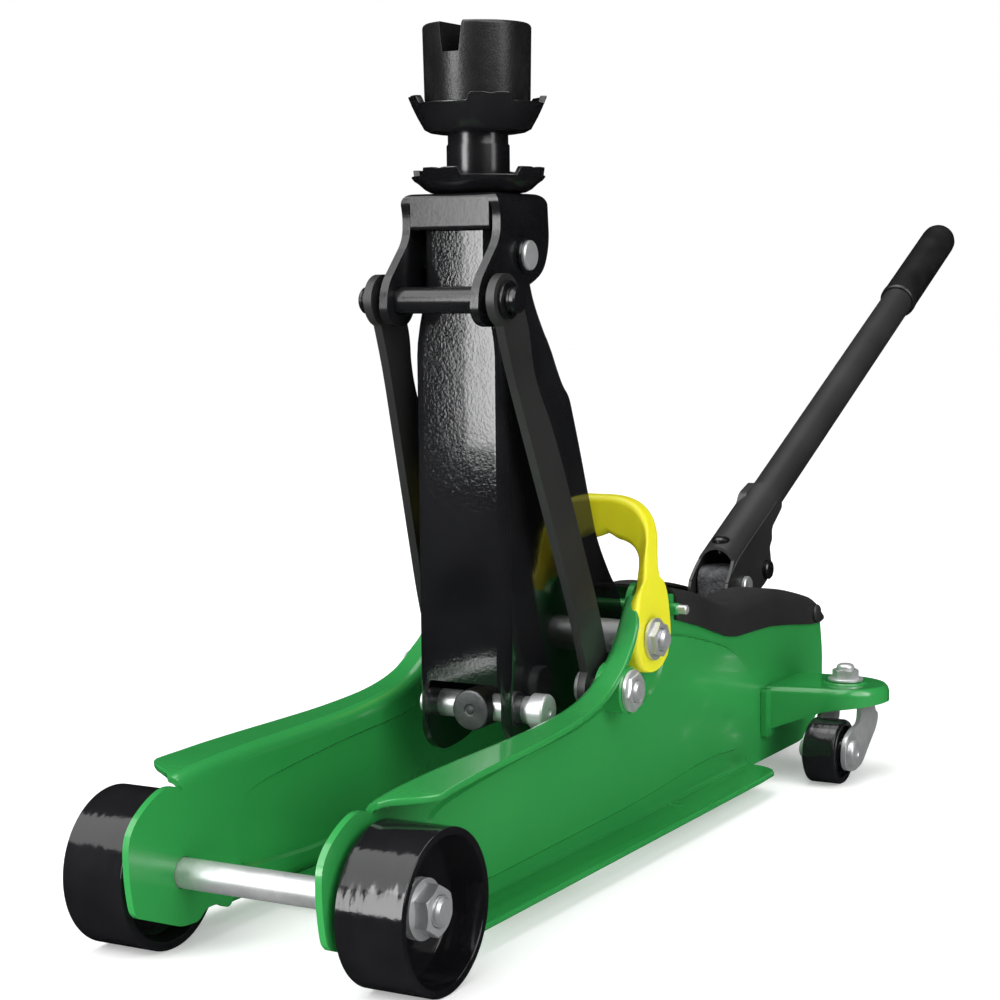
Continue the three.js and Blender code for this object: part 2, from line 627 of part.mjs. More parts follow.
function rubberPad() {
  const bottom = ADAPTER_RIM - 9 + GAP;
  const body = turned('z', [[0, bottom], [21, bottom], [23.8, ADAPTER_RIM + 2], [24.4, PAD_TOP], [0, PAD_TOP]],
    [0, SADDLE_Y], 20);
  const slotDepth = 13.4;
  const slot = outline([
    [PAD_TOP - slotDepth, -4.1], [PAD_TOP - slotDepth, 4.1], [PAD_TOP + 1, 5.9], [PAD_TOP + 1, -5.9],
  ]);
  return cut(body, sweep('y', slot, 120, 220));
}
piece('rubber_pad', RUBBER, rubberPad());

// ---------------------------------------------------------------- pump lever
// The handle's round pieces are turned along y and then laid on the handle's slope.

const HANDLE_AT = [0, ...HANDLE_POINT];

function alongHandle(solid) {
  return solid.rotate([THREE.MathUtils.radToDeg(HANDLE_SLOPE), 0, 0]).translate(HANDLE_AT);
}

function handleSocket() {
  const outer = TUBE_RADIUS + 2;
  const room = TUBE_RADIUS + GAP;
  const mouth = -4;
  const cheeks = sweep('x', outline([
    [424, 99, 3], [437, 110, 4], [455, 119, 3], [498, 139, 1], [504, 134, 2], [489, 124, 2], [490, 117, 2],
    [486, 114, 2], [488, 106, 3], [490, 99, 3], [477, 92, 3], [462, 88, 4], [440, 86, 6], [424, 92, 4],
  ]), -outer, outer);
  const sleeve = alongHandle(bar('y', [0, 0], outer, -92, mouth, 16));
  const bore = alongHandle(bar('y', [0, 0], room, -95, mouth + 5, 16));
  const below = sweep('x', outline([[420, 60], [420, 98], HANDLE_POINT, [520, 120], [500, 60]]), -room, room);
  const frontEnd = sweep('x', outline([[400, 60], [424, 60], [424, 99], [436, 111], [434, 140], [400, 140]]),
    -20, 20);
  return cut(
    join(cheeks, sleeve),
    bore,
    below,
    frontEnd,
    bar('x', LEVER_PIVOT, 4.3, -20, 20),
    bar('x', ROLLER, 3.3, -20, 20),
    bar('z', [0, 443], 3, 90, 140),
  );
}

piece('handle_socket', SATIN, handleSocket());
piece('roller_pin', ZINC, turned('x', [
  [0, -14], [3, -14], [3, -9.8], [6, -9.8], [6, 9.8], [3, 9.8], [3, 14], [0, 14],
], ROLLER, 12));
piece('socket_screw', ZINC, turned('z', [
  [0, 119], [2.6, 119], [2.6, 125], [5, 125], [5, 128], [0, 128.6],
], [0, 443], 12));
piece('handle_tube', SATIN, turned('y', [
  [8.4, TUBE_START], [TUBE_RADIUS, TUBE_START], [TUBE_RADIUS, GRIP_END - 8], [8.4, GRIP_END - 8],
], [0, 0], 16), HANDLE_AT, HANDLE_SLOPE);
piece('handle_grip', RUBBER, turned('y', [
  [TUBE_RADIUS + GAP, GRIP_START], [11.6, GRIP_START], [12, GRIP_START + 4], [12, GRIP_END - 6],
  [9, GRIP_END - 1], [4, GRIP_END], [0, GRIP_END], [0, GRIP_END - 7], [TUBE_RADIUS + GAP, GRIP_END - 7],
], [0, 0], 16), HANDLE_AT, HANDLE_SLOPE);

// ---------------------------------------------------------------- origin: middle of the footprint

const box = new THREE.Box3().setFromObject(jack, true);
jack.position.y = -(box.min.y + box.max.y) / 2;

export default jack;
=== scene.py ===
import json
import math

import bmesh
import bpy
from mathutils import Matrix, Vector

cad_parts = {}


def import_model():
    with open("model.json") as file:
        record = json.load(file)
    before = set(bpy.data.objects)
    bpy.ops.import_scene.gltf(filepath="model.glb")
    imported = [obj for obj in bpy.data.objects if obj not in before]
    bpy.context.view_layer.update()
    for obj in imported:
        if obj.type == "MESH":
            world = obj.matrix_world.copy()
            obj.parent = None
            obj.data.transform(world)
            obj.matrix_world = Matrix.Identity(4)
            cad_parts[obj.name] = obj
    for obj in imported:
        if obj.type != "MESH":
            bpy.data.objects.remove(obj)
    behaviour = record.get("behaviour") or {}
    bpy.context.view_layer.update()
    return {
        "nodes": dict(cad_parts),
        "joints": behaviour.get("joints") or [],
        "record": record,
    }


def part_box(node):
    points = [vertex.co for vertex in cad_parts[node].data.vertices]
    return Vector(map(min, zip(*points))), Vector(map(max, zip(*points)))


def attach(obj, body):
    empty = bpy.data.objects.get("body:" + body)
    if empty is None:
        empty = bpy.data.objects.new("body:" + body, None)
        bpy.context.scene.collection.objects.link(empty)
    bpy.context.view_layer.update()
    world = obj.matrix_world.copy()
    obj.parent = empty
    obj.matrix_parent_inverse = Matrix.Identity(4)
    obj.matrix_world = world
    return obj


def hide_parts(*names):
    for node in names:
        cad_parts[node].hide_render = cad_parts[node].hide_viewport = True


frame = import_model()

# All shapes below are drawn in millimetres from the front axle's foot: y = 0 under the axle, z = 0 on the
# floor, +X to the camera's side. Side outlines are (y, z), plan outlines (x, y) and front outlines (z, x).

MM = 0.001
JOINTS = {joint["name"]: joint for joint in frame["joints"]}


def middle(node):
    low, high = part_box(node)
    return (low + high) / 2


AXLE_Y = middle("front_axle").y


def pivot(joint):
    """A joint's place as (y, z) in millimetres."""
    place = JOINTS[joint]["pos_m"]
    return ((place[1] - AXLE_Y) / MM, place[2] / MM)


def add(a, b):
    return (a[0] + b[0], a[1] + b[1])


P = pivot("arm_lift")
A = pivot("bracket_level")
L = pivot("link_swing")
T = pivot("unit_tilt")
R = pivot("ram_pivot")
K = pivot("lever_pump")
B = add(A, (L[0] - P[0], L[1] - P[1]))
SIDES = (("left", -1), ("right", 1))

PLATE_OUT = 46.7
SHEET = 3.0
PLATE_IN = PLATE_OUT - SHEET
PANEL = 1.5
WHEEL_R = middle("front_axle").z / MM
UNIT_TILT = math.radians(1.6)
HANDLE_POINT = (508.0, 140.0)
HANDLE_SLOPE = math.radians(25.5)
SADDLE_Y = (JOINTS["saddle_turn"]["pos_m"][1] - AXLE_Y) / MM
CASTOR = ((JOINTS["castor_right_swivel"]["pos_m"][0]) / MM,
          (JOINTS["castor_right_swivel"]["pos_m"][1] - AXLE_Y) / MM)
AXLE = (0, WHEEL_R)
CENTRE = (0, SADDLE_Y)
SPRING_ROD = (272, 109)
ROLLER = (480, 101)
SOCKET_SCREW = (0, 443)
M8_HOLE = 4.3
M10_HOLE = 5.3
SHAFT_HOLE = 8.3
TOP_PIN_HOLE = 6.8
RAM_PIN_HOLE = 6.55
LINK_PIN_HOLE = 6.2
LEG_IN = PLATE_OUT + 0.3
LEG_OUT = LEG_IN + 8.5
BAR_OUT = LEG_IN + 5.4
BOSS_END = PLATE_OUT + 12

# ---------------------------------------------------------------- outlines

ARC_STEPS = 10


def corner_curve(before, point, after, steps):
    """The points of one corner: the corner itself, or a smooth curve where it has a setback."""
    here = Vector(point[:2])
    setback = point[2] if len(point) > 2 else 0
    if not setback:
        return [here]
    ends = []
    for other in (before, after):
        way = Vector(other[:2]) - here
        ends.append(here + way * min(setback / way.length, 0.5))
    curve = []
    for k in range(steps + 1):
        t = k / steps
        curve.append((1 - t) ** 2 * ends[0] + 2 * t * (1 - t) * here + t * t * ends[1])
    return curve


def rounded(points, steps=ARC_STEPS):
    """The closed outline with each corner that has a setback turned into a smooth curve."""
    out = []
    for i, point in enumerate(points):
        out += corner_curve(points[i - 1], point, points[(i + 1) % len(points)], steps)
    return out


def rounded_line(points, steps):
    """An open line with each corner that has a setback rounded."""
    out = [Vector(points[0][:2])]
    for before, point, after in zip(points, points[1:], points[2:]):
        out += corner_curve(before, point, after, steps)
    out.append(Vector(points[-1][:2]))
    return out


def plain(*points):
    """An outline with sharp corners."""
    return [Vector(point) for point in points]


def circle(centre, radius, steps=64, turn=0.0):
    angles = [turn + 2 * math.pi * i / steps for i in range(steps)]
    return [Vector((centre[0] + radius * math.cos(a), centre[1] + radius * math.sin(a))) for a in angles]


def mirrored_line(half):
    """The half line followed by its mirror image in the first coordinate."""
    return half + [(-u, v) for u, v in reversed(half)]


def inset(loop, distance):
    """The loop moved inwards along its own normals. The loop runs counter-clockwise."""
    out = []
    count = len(loop)
    area = sum(loop[i - 1].x * loop[i].y - loop[i].x * loop[i - 1].y for i in range(count))
    sign = 1 if area > 0 else -1
    for i, here in enumerate(loop):
        along = loop[(i + 1) % count] - loop[i - 1]
        along.normalize()
        out.append(here + sign * distance * Vector((-along.y, along.x)))
    return out


# ---------------------------------------------------------------- solids

LAY = {
    "x": (Vector((0, 1, 0)), Vector((0, 0, 1)), Vector((1, 0, 0))),
    "y": (Vector((0, 0, 1)), Vector((1, 0, 0)), Vector((0, 1, 0))),
    "z": (Vector((1, 0, 0)), Vector((0, 1, 0)), Vector((0, 0, 1))),
}


def lay(axis, u, v, depth):
    first, second, third = LAY[axis]
    return first * u + second * v + third * depth


def placed(name, data):
    """A new object in the scene."""
    obj = bpy.data.objects.new(name, data)
    bpy.context.scene.collection.objects.link(obj)
    return obj


def mesh_object(bm):
    bmesh.ops.recalc_face_normals(bm, faces=bm.faces)
    mesh = bpy.data.meshes.new("work")
    bm.to_mesh(mesh)
    bm.free()
    return placed("work", mesh)


def loft(rings):
    """A solid through the rings of 3-D points, capped at both ends."""
    bm = bmesh.new()
    rows = [[bm.verts.new(point) for point in ring] for ring in rings]
    size = len(rows[0])
    for low, high in zip(rows, rows[1:]):
        for i in range(size):
            j = (i + 1) % size
            bm.faces.new((low[i], low[j], high[j], high[i]))
    bm.faces.new(list(reversed(rows[0])))
    bm.faces.new(rows[-1])
    return mesh_object(bm)


def prism(axis, loop, start, end):
    return loft([[lay(axis, p.x, p.y, d) for p in loop] for d in (start, end)])


def tapered(axis, levels):
    """A stack of loops, each given as (loop, height along the axis)."""
    return loft([[lay(axis, p.x, p.y, height) for p in loop] for loop, height in levels])


def turned(axis, profile, centre=(0, 0), steps=96, shape=None):
    """A turned solid from a closed (radius, height) profile. shape(angle, radius, height) may bend it."""
    bm = bmesh.new()
    columns = []
    axis_points = {}
    for i in range(steps):
        angle = 2 * math.pi * i / steps
        column = []
        for index, (radius, height) in enumerate(profile):
            if radius <= 0:
                if index not in axis_points:
                    axis_points[index] = bm.verts.new(lay(axis, centre[0], centre[1], height))
                column.append(axis_points[index])
                continue
            r, h = shape(angle, radius, height) if shape else (radius, height)
            u = centre[0] + r * math.cos(angle)
            v = centre[1] + r * math.sin(angle)
            column.append(bm.verts.new(lay(axis, u, v, h)))
        columns.append(column)
    closed = profile[0][0] > 0
    count = len(profile)
    last = count if closed else count - 1
    for i in range(steps):
        one, two = columns[i], columns[(i + 1) % steps]
        for k in range(last):
            ring = (one[k], one[(k + 1) % count], two[(k + 1) % count], two[k])
            corners = list(dict.fromkeys(ring))
            if len(corners) > 2:
                bm.faces.new(corners)
    return mesh_object(bm)


def bar(axis, centre, radius, start, end, chamfer=0.0, steps=64):
    if not chamfer:
        return prism(axis, circle(centre, radius, steps), start, end)
    low, high = min(start, end), max(start, end)
    return turned(axis, [
        (0, low), (radius - chamfer, low), (radius, low + chamfer),
        (radius, high - chamfer), (radius - chamfer, high), (0, high),
    ], centre, steps)


def settle(obj):
    """Turns the object's modifiers into its mesh."""
    graph = bpy.context.evaluated_depsgraph_get()
    mesh = bpy.data.meshes.new_from_object(obj.evaluated_get(graph))
    obj.modifiers.clear()
    old = obj.data
    obj.data = mesh
    bpy.data.meshes.remove(old)


def combine(operation, target, tools):
    for tool in tools:
        step = target.modifiers.new("boolean", "BOOLEAN")
        step.operation = operation
        step.solver = "EXACT"
        step.object = tool
    settle(target)
    for tool in tools:
        bpy.data.objects.remove(tool)
    return target


def cut(target, *tools):
    return combine("DIFFERENCE", target, tools)


def join(target, *tools):
    return combine("UNION", target, tools)


def meet(target, *tools):
    return combine("INTERSECT", target, tools)


def transformed(obj, matrix):
    obj.data.transform(matrix)
    return obj


def about(place, angle):
    """Turns about the X axis through a (y, z) place, for shapes drawn at the origin."""
    return Matrix.Translation((0, place[0], place[1])) @ Matrix.Rotation(angle, 4, "X")


def mirrored(side, obj):
    if side < 0:
        obj.data.transform(Matrix.Scale(-1, 4, (1, 0, 0)))
        obj.data.flip_normals()
    return obj


MERGE = 0.004
SHARP = math.radians(40)


def piece(node, obj, bevel=0.5, segments=2, angle=30.0, material=None, extra=None):
    """Finishes a shape for a CAD node: bevelled edges, smooth shading, metres, material, body and slot.
    With extra, the shape is one more piece on the same node."""
    name = f"{node}_{extra or 'look'}"
    obj.name = name
    clean = bmesh.new()
    clean.from_mesh(obj.data)
    bmesh.ops.remove_doubles(clean, verts=clean.verts, dist=MERGE)
    bmesh.ops.dissolve_degenerate(clean, edges=clean.edges, dist=MERGE / 2)
    clean.to_mesh(obj.data)
    clean.free()
    if bevel:
        edge = obj.modifiers.new("bevel", "BEVEL")
        edge.width = bevel
        edge.segments = segments
        edge.limit_method = "ANGLE"
        edge.angle_limit = math.radians(angle)
        settle(obj)
    obj.data.transform(Matrix.Translation((0, AXLE_Y, 0)) @ Matrix.Scale(MM, 4))
    obj.data.name = name
    for face in obj.data.polygons:
        face.use_smooth = True
    obj.data.set_sharp_from_angle(angle=SHARP)
    weighted = obj.modifiers.new("normals", "WEIGHTED_NORMAL")
    weighted.keep_sharp = True
    settle(obj)
    obj.data.materials.clear()
    obj.data.materials.append(MATERIALS[material or SLOT[node]])
    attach(obj, BODY[node])
    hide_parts(node)


BODY = {node: body for body, nodes in frame["record"]["behaviour"]["bodies"].items() for node in nodes}
SLOT = {part["node"]: part["material_slot"] for part in frame["record"]["subparts"]}

# ---------------------------------------------------------------- materials

class Nodes:
    """A short way to write a node material on object coordinates."""

    def __init__(self, name):
        self.material = bpy.data.materials.new(name)
        self.material.use_nodes = True
        self.tree = self.material.node_tree
        self.shader = self.tree.nodes["Principled BSDF"]
        self.place = self.tree.nodes.new("ShaderNodeTexCoord").outputs["Object"]

    def node(self, kind, **inputs):
        made = self.tree.nodes.new(kind)
        for key, value in inputs.items():
            self.feed(made.inputs[key.replace("_", " ")], value)
        return made

    def feed(self, socket, value):
        if isinstance(value, bpy.types.NodeSocket):
            self.tree.links.new(value, socket)
        else:
            socket.default_value = (*value, 1) if socket.type == "RGBA" else value

    def noise(self, scale, detail, roughness=0.5, stretch=None):
        place = self.place
        if stretch:
            place = self.node("ShaderNodeMapping", Vector=place, Scale=stretch).outputs["Vector"]
        made = self.node("ShaderNodeTexNoise", Vector=place, Scale=scale, Detail=detail, Roughness=roughness)
        return made.outputs["Fac"]

    def ranged(self, value, **ends):
        """The value moved from one range to another and held inside it."""
        return self.node("ShaderNodeMapRange", Value=value, **ends).outputs["Result"]

    def mix(self, factor, a, b):
        made = self.tree.nodes.new("ShaderNodeMix")
        made.data_type = "RGBA"
        for socket, value in (("Factor", factor), (6, a), (7, b)):
            self.feed(made.inputs[socket], value)
        return made.outputs[2]

    def bump(self, *layers):
        """Each layer is (height, strength, distance in metres)."""
        normal = None
        for height, strength, distance in layers:
            made = self.node("ShaderNodeBump", Height=height, Strength=strength, Distance=distance)
            if normal:
                self.tree.links.new(normal, made.inputs["Normal"])
            normal = made.outputs["Normal"]
        self.tree.links.new(normal, self.shader.inputs["Normal"])

    def set(self, **values):
        for key, value in values.items():
            self.feed(self.shader.inputs[key.replace("_", " ")], value)


MATERIALS = {}


def material(name, shade, rough, *bumps, grime=False, **surface):
    """A material made of noise. shade is a noise, the range it is read over and two colours, rough is a noise
    and a range of roughness, and each bump is a noise, a strength and a distance in metres."""
    m = Nodes(name)
    grain, low, high, dark, light = shade
    colour = m.mix(m.ranged(m.noise(*grain), From_Min=low, From_Max=high), dark, light)
    if grime:
        spots = m.ranged(m.noise(120, 5, 0.7), From_Min=0.6, From_Max=0.75, To_Max=0.35)
        colour = m.mix(spots, colour, (0.25, 0.25, 0.24))
    grain, low, high = rough
    m.set(Base_Color=colour, Roughness=m.ranged(m.noise(*grain), To_Min=low, To_Max=high), **surface)
    m.bump(*[(m.noise(*grain), strength, distance) for grain, strength, distance in bumps])
    MATERIALS[name] = m.material


material("green_paint", ((9, 3), 0.3, 0.7, (0.022, 0.26, 0.055), (0.03, 0.29, 0.064)), ((40, 4), 0.2, 0.3),
         ((420, 2), 0.12, 0.0006), ((60, 2), 0.08, 0.002),
         Coat_Weight=0.5, Coat_Roughness=0.08, Specular_IOR_Level=0.5)
material("black_paint", ((30, 4), 0.35, 0.7, (0.005, 0.005, 0.006), (0.01, 0.01, 0.011)),
         ((50, 4), 0.18, 0.28), ((700, 2, 0.4), 0.1, 0.0003), ((90, 2), 0.05, 0.001),
         Coat_Weight=0.3, Coat_Roughness=0.2)
material("hammered_black", ((25, 4), 0.35, 0.7, (0.005, 0.005, 0.006), (0.01, 0.01, 0.011)),
         ((45, 4), 0.05, 0.09), ((800, 2, 0.5), 0.1, 0.0003), ((110, 2), 0.03, 0.001),
         Coat_Weight=0.4, Coat_Roughness=0.03)
material("satin_black", ((20, 5), 0.3, 0.7, (0.017, 0.017, 0.017), (0.026, 0.026, 0.0255)),
         ((60, 4), 0.36, 0.5), ((900, 3, 0.6), 0.2, 0.0003), ((80, 2), 0.06, 0.001),
         Coat_Weight=0.1, Coat_Roughness=0.3)
material("zinc_steel", ((55, 5, 0.65), 0.35, 0.7, (0.62, 0.63, 0.64), (0.82, 0.83, 0.83)),
         ((90, 4, 0.7), 0.3, 0.46), ((700, 2, 0.5, (8, 1, 1)), 0.12, 0.0003), ((160, 3), 0.1, 0.0008),
         grime=True, Metallic=0.72)
material("dark_steel", ((90, 5, 0.65), 0.35, 0.7, (0.06, 0.06, 0.065), (0.12, 0.12, 0.125)),
         ((90, 4, 0.7), 0.28, 0.45), ((600, 2), 0.15, 0.0004), Metallic=0.7)
material("yellow_plastic", ((14, 3), 0.3, 0.7, (0.7, 0.67, 0.01), (0.78, 0.75, 0.018)), ((80, 3), 0.34, 0.46),
         ((500, 2), 0.12, 0.0004), ((60, 2), 0.08, 0.002),
         Subsurface_Weight=0.25, Subsurface_Scale=0.006, Coat_Weight=0.08, Coat_Roughness=0.3)
material("black_rubber", ((60, 5, 0.6), 0.35, 0.7, (0.007, 0.007, 0.0075), (0.014, 0.014, 0.0145)),
         ((70, 4), 0.27, 0.37), ((900, 3, 0.6), 0.25, 0.0004), ((150, 2), 0.12, 0.001))
material("wheel_plastic", ((30, 4), 0.35, 0.7, (0.006, 0.006, 0.007), (0.011, 0.011, 0.012)),
         ((60, 5, 0.7), 0.07, 0.13), ((260, 2), 0.1, 0.0006), ((45, 2, 0.5, (3, 1, 1)), 0.12, 0.002),
         Specular_IOR_Level=0.45)
material("cast_iron", ((220, 5, 0.7), 0.35, 0.7, (0.03, 0.031, 0.034), (0.09, 0.09, 0.095)),
         ((150, 4), 0.4, 0.65), ((480, 4, 0.65), 0.8, 0.001), ((120, 3), 0.4, 0.002), Metallic=0.35)

# ---------------------------------------------------------------- shared shapes

def smooth(points, steps=8):
    """A smooth line through the points (Catmull-Rom)."""
    line = [Vector(p) for p in points]
    line = [line[0] * 2 - line[1]] + line + [line[-1] * 2 - line[-2]]
    out = []
    for a, b, c, d in zip(line, line[1:], line[2:], line[3:]):
        for k in range(steps):
            t = k / steps
            out.append(0.5 * ((2 * b) + (c - a) * t + (2 * a - 5 * b + 4 * c - d) * t * t
                              + (3 * b - a - 3 * c + d) * t ** 3))
    out.append(line[-2])
    return out


def spaced(line, step):
    """The line resampled to about equal steps."""
    lengths = [0.0]
    for a, b in zip(line, line[1:]):
        lengths.append(lengths[-1] + (b - a).length)
    count = max(2, round(lengths[-1] / step))
    out = []
    k = 0
    for i in range(count + 1):
        want = lengths[-1] * i / count
        while k < len(line) - 2 and lengths[k + 1] < want:
            k += 1
        t = (want - lengths[k]) / max(lengths[k + 1] - lengths[k], 1e-9)
        out.append(line[k].lerp(line[k + 1], min(t, 1)))
    return out


def read(table, value):
    """Linear reading of a table of (value, result) rows."""
    if value <= table[0][0]:
        return table[0][1]
    for (a, low), (b, high) in zip(table, table[1:]):
        if value <= b:
            return low + (high - low) * (value - a) / (b - a)
    return table[-1][1]


def arc(centre, radius, start, end, steps=6):
    """Points on an arc, angles in degrees."""
    return [(centre[0] + radius * math.cos(math.radians(start + (end - start) * k / steps)),
             centre[1] + radius * math.sin(math.radians(start + (end - start) * k / steps)))
            for k in range(steps + 1)]


def flange(path, reach, side, sheet=SHEET, bend=6.0, root=9.0):
    """Sheet folded outwards from the side plate. path is the folded face's (y, z) line, reach gives its outer
    X at a y, and side is 1 where the plate hangs below the line and -1 where it stands above it."""
    rings = []
    for i, here in enumerate(path):
        along = path[min(i + 1, len(path) - 1)] - path[max(i - 1, 0)]
        along.normalize()
        up = Vector((-along.y, along.x)) * side
        if up.y * side < 0:
            up = -up
        out = max(reach(here.x), PLATE_IN + bend + 0.6)
        section = [(PLATE_IN, -root), *arc((PLATE_IN + bend, -bend), bend, 180, 90), (out - 1, 0)]
        section += [*arc((out - 1, -1), 1, 90, 0, 3), *arc((out - 1, -sheet + 1), 1, 0, -90, 3)]
        section += [*arc((PLATE_IN + bend, -bend), bend - sheet, 90, 180), (PLATE_OUT, -root)]
        rings.append([Vector((x, here.x + up.x * h, here.y + up.y * h)) for x, h in section])
    return loft(rings)


def thread(radius, start, end, pitch=1.5, depth=0.45):
    """A turned profile of a threaded end, from the axis out."""
    profile = [(0, start), (radius - depth, start)]
    turns = int(abs(end - start) / pitch)
    step = (end - start) / turns
    for i in range(turns):
        profile.append((radius - depth, start + step * (i + 0.1)))
        profile.append((radius, start + step * (i + 0.45)))
        profile.append((radius, start + step * (i + 0.6)))
    profile += [(radius - depth, end), (radius - depth * 2.4, end + math.copysign(0.7, step)),
                (0, end + math.copysign(0.7, step))]
    return profile


def both_ends(half):
    """The whole of a symmetric turned profile from its half, listed from the positive end to the middle."""
    return [(radius, -height) for radius, height in half] + half[::-1]


def hex_nut(axis, centre, corner, bore, start, end, flange_radius=0.0, turn=0.3):
    """A hexagon nut with chamfered corners, and with a washer face towards start."""
    low, high = min(start, end), max(start, end)
    outward = end > start
    body = prism(axis, circle(centre, corner, 6, turn), low, high)
    across = corner * math.cos(math.pi / 6)
    drop = (corner - across) * 0.62
    cone = turned(axis, [
        (0, low), (across + (0.2 if outward else 0), low), (corner + 0.3, low + drop),
        (corner + 0.3, high - drop), (across, high), (0, high),
    ], centre, 72)
    nut = meet(body, cone)
    if flange_radius:
        edge = start + (1.6 if outward else -1.6)
        rise = start + (3.0 if outward else -3.0)
        face = turned(axis, [
            (0, start), (flange_radius, start), (flange_radius, edge), (across * 0.8, rise), (0, rise),
        ], centre, 72)
        nut = join(nut, face)
    mouth = 0.7
    return cut(nut, turned(axis, [
        (0, low - 1), (bore + mouth, low - 1), (bore + mouth, low), (bore, low + mouth),
        (bore, high - mouth), (bore + mouth, high), (bore + mouth, high + 1), (0, high + 1),
    ], centre, 48))


def both(node, make, **finish):
    """The same piece on the left and the right, named after the side."""
    for name, side in SIDES:
        piece(node.format(name), mirrored(side, make()), **finish)


# ---------------------------------------------------------------- side plates

# The top flange's line and its outer X by y, the rear cover's top line, how far the plate's edge runs below
# each of the two, and the bottom flange's height.
FOLD = [
    (-1, 71.8), (2, 72.6), (15, 74), (30, 74.8), (50, 75.5), (75, 75.9), (100, 76.2), (125, 76.8),
    (150, 78.2), (165, 80), (176, 82.2), (185, 85), (192, 88.3), (200, 93), (207, 98), (213, 104),
    (218, 110.6), (222, 116.4), (226, 121.6)]
FOLD_REACH = [
    (-2, 50), (0, 51), (4, 56), (9, 64), (13, 68.4), (16, 69.6), (30, 68.4), (50, 67.3), (75, 65.9),
    (100, 64.4), (125, 62.6), (150, 61), (165, 59.6), (185, 58.3), (200, 57.8), (207, 56.9), (213, 56.4),
    (217, 55.9), (219, 55), (221, 53.7), (223, 52), (224.5, 50.4), (226, 49)]
COVER_LINE = [
    (277, 118.9), (308, 112.2), (337, 103.1), (354, 100.2), (374, 101.5), (399.5, 101.7), (425.5, 98.3),
    (455.7, 91.6), (468, 88), (475.4, 83), (478, 77.6)]
FOLD_DROP = 7.8
COVER_LAP = 3.4
FOOT_Z = 10


def plate_outline():
    fold = spaced(smooth(FOLD), 4)
    below_fold = []
    for before, here, after in zip(fold, fold[1:], fold[2:]):
        along = (after - before).normalized()
        below_fold.append(here - Vector((-along.y, along.x)) * FOLD_DROP)
    under_cover = [(y, z - COVER_LAP) for y, z in spaced(smooth(COVER_LINE), 6) if y < 460]
    nose = smooth([(-29.3, 21), (-32.6, 25.5), (-34.9, 40), (-34.6, 52), (-30.7, 58.9), (-24.5, 63.7),
                   (-17.6, 67.3), (-10.6, 69.4), (-4, 68.8), (0, 66.5)], 5)
    loop = list(nose) + below_fold[1:-1]
    shoulder = rounded([(226, 112, 3), (231, 124.5, 6), (240, 127, 8), (262, 118.5, 8), (272, 117, 3)])
    loop += shoulder[3:]
    loop += plain(*under_cover)
    tail = rounded([(465, 84), (475, 81, 4), (480, 57, 6), (480, 26, 14), (452, 17, 6), (430, 17), (400, 60)])
    loop += tail[1:-2]
    loop.append(Vector((36, 17)))
    toe = rounded([(36, 16), (30, 10, 3), (22, 14, 3), (14, 14, 3), (9.5, 10, 3), (-2, 10.5, 4), (-29.3, 21)])
    loop += toe[1:-1]
    return loop


PANEL_LINE = [
    (37, 23, 9), (90, 19.3, 8), (236, 21, 30), (321, 26, 30), (353, 23, 6), (368, 27, 10), (378, 50, 20),
    (370, 64, 14), (345, 78.5, 14), (298, 91.5, 24), (268, 97, 8), (240, 97), (226, 84, 10),
    (203, 74.5, 14), (170, 68.4, 20), (121, 66.4, 20), (74, 62.5, 12), (52, 60, 6), (40, 56, 8),
    (35.5, 40, 12)]
EYE = 31.6


def panel(start, end, base_grow, top_grow):
    """The pressed panel as a solid with sloping walls, with a flat eye left round the main pivot."""
    loop = rounded(PANEL_LINE, 12)
    loop = spaced(loop + loop[:1], 2.5)[:-1]
    body = tapered("x", [(inset(loop, -base_grow), start), (inset(loop, -top_grow), end)])
    eye = tapered("x", [
        (circle(P, EYE - base_grow, 96), start - 0.5), (circle(P, EYE - top_grow, 96), end + 0.5)])
    return cut(body, eye)


def side_plate():
    plate = prism("x", plate_outline(), PLATE_IN, PLATE_OUT)
    top = flange(spaced(smooth(FOLD), 2.5), lambda y: read(FOLD_REACH, y), 1)
    foot_steps = (36, 37, 38, 40, 46, 80, 160, 240, 320, 340, 357, 361, 364, 366, 367)
    foot_line = [Vector((y, FOOT_Z)) for y in foot_steps]
    foot_reach = [
        (36, 64), (38, 66.5), (40, 67.6), (46, 68), (351, 68), (357, 67.2), (361, 65), (364, 61.5),
        (366, 57), (367, 52)]
    foot = flange(foot_line, lambda y: read(foot_reach, y), -1)
    raised = panel(PLATE_OUT - 0.6, PLATE_OUT + PANEL, 1.0, -0.8)
    boss = turned("x", [
        (0, PLATE_OUT - 1), (12.4, PLATE_OUT - 1), (12.4, PLATE_OUT + 0.3), (11.4, PLATE_OUT + 1.2),
        (11, PLATE_OUT + 2), (11, BOSS_END - 0.8), (10.2, BOSS_END), (0, BOSS_END)], L)
    sill = prism("x", rounded([(36, 10), (36, 20), (452, 20), (480, 30), (480, 26, 14), (452, 10, 10)]),
                 PLATE_IN, PLATE_OUT)
    body = join(plate, sill)
    below_fold = plain((35, 9), (35, 16.2), (368, 16.2), (368, 9))
    body = cut(body, prism("x", below_fold, PLATE_IN - 1, PLATE_OUT + 1))
    body = join(body, top, foot, raised, boss)
    hollow = panel(PLATE_IN - 1, PLATE_IN + PANEL, -0.4, -2.6)
    holes = [bar("x", place, radius, PLATE_IN - 2, PLATE_OUT + 14, steps=48) for place, radius in (
        (AXLE, 6.6), (P, M10_HOLE), (L, M10_HOLE), (T, M8_HOLE), (SPRING_ROD, 3.3))]
    return cut(body, hollow, *holes)


both("side_plate_{}", side_plate, bevel=0.7, segments=3, angle=28)


def cross_plate(start, end):
    half = PLATE_IN - 0.3
    return prism("z", plain((-half, start), (half, start), (half, end), (-half, end)), FOOT_Z, FOOT_Z + SHEET)


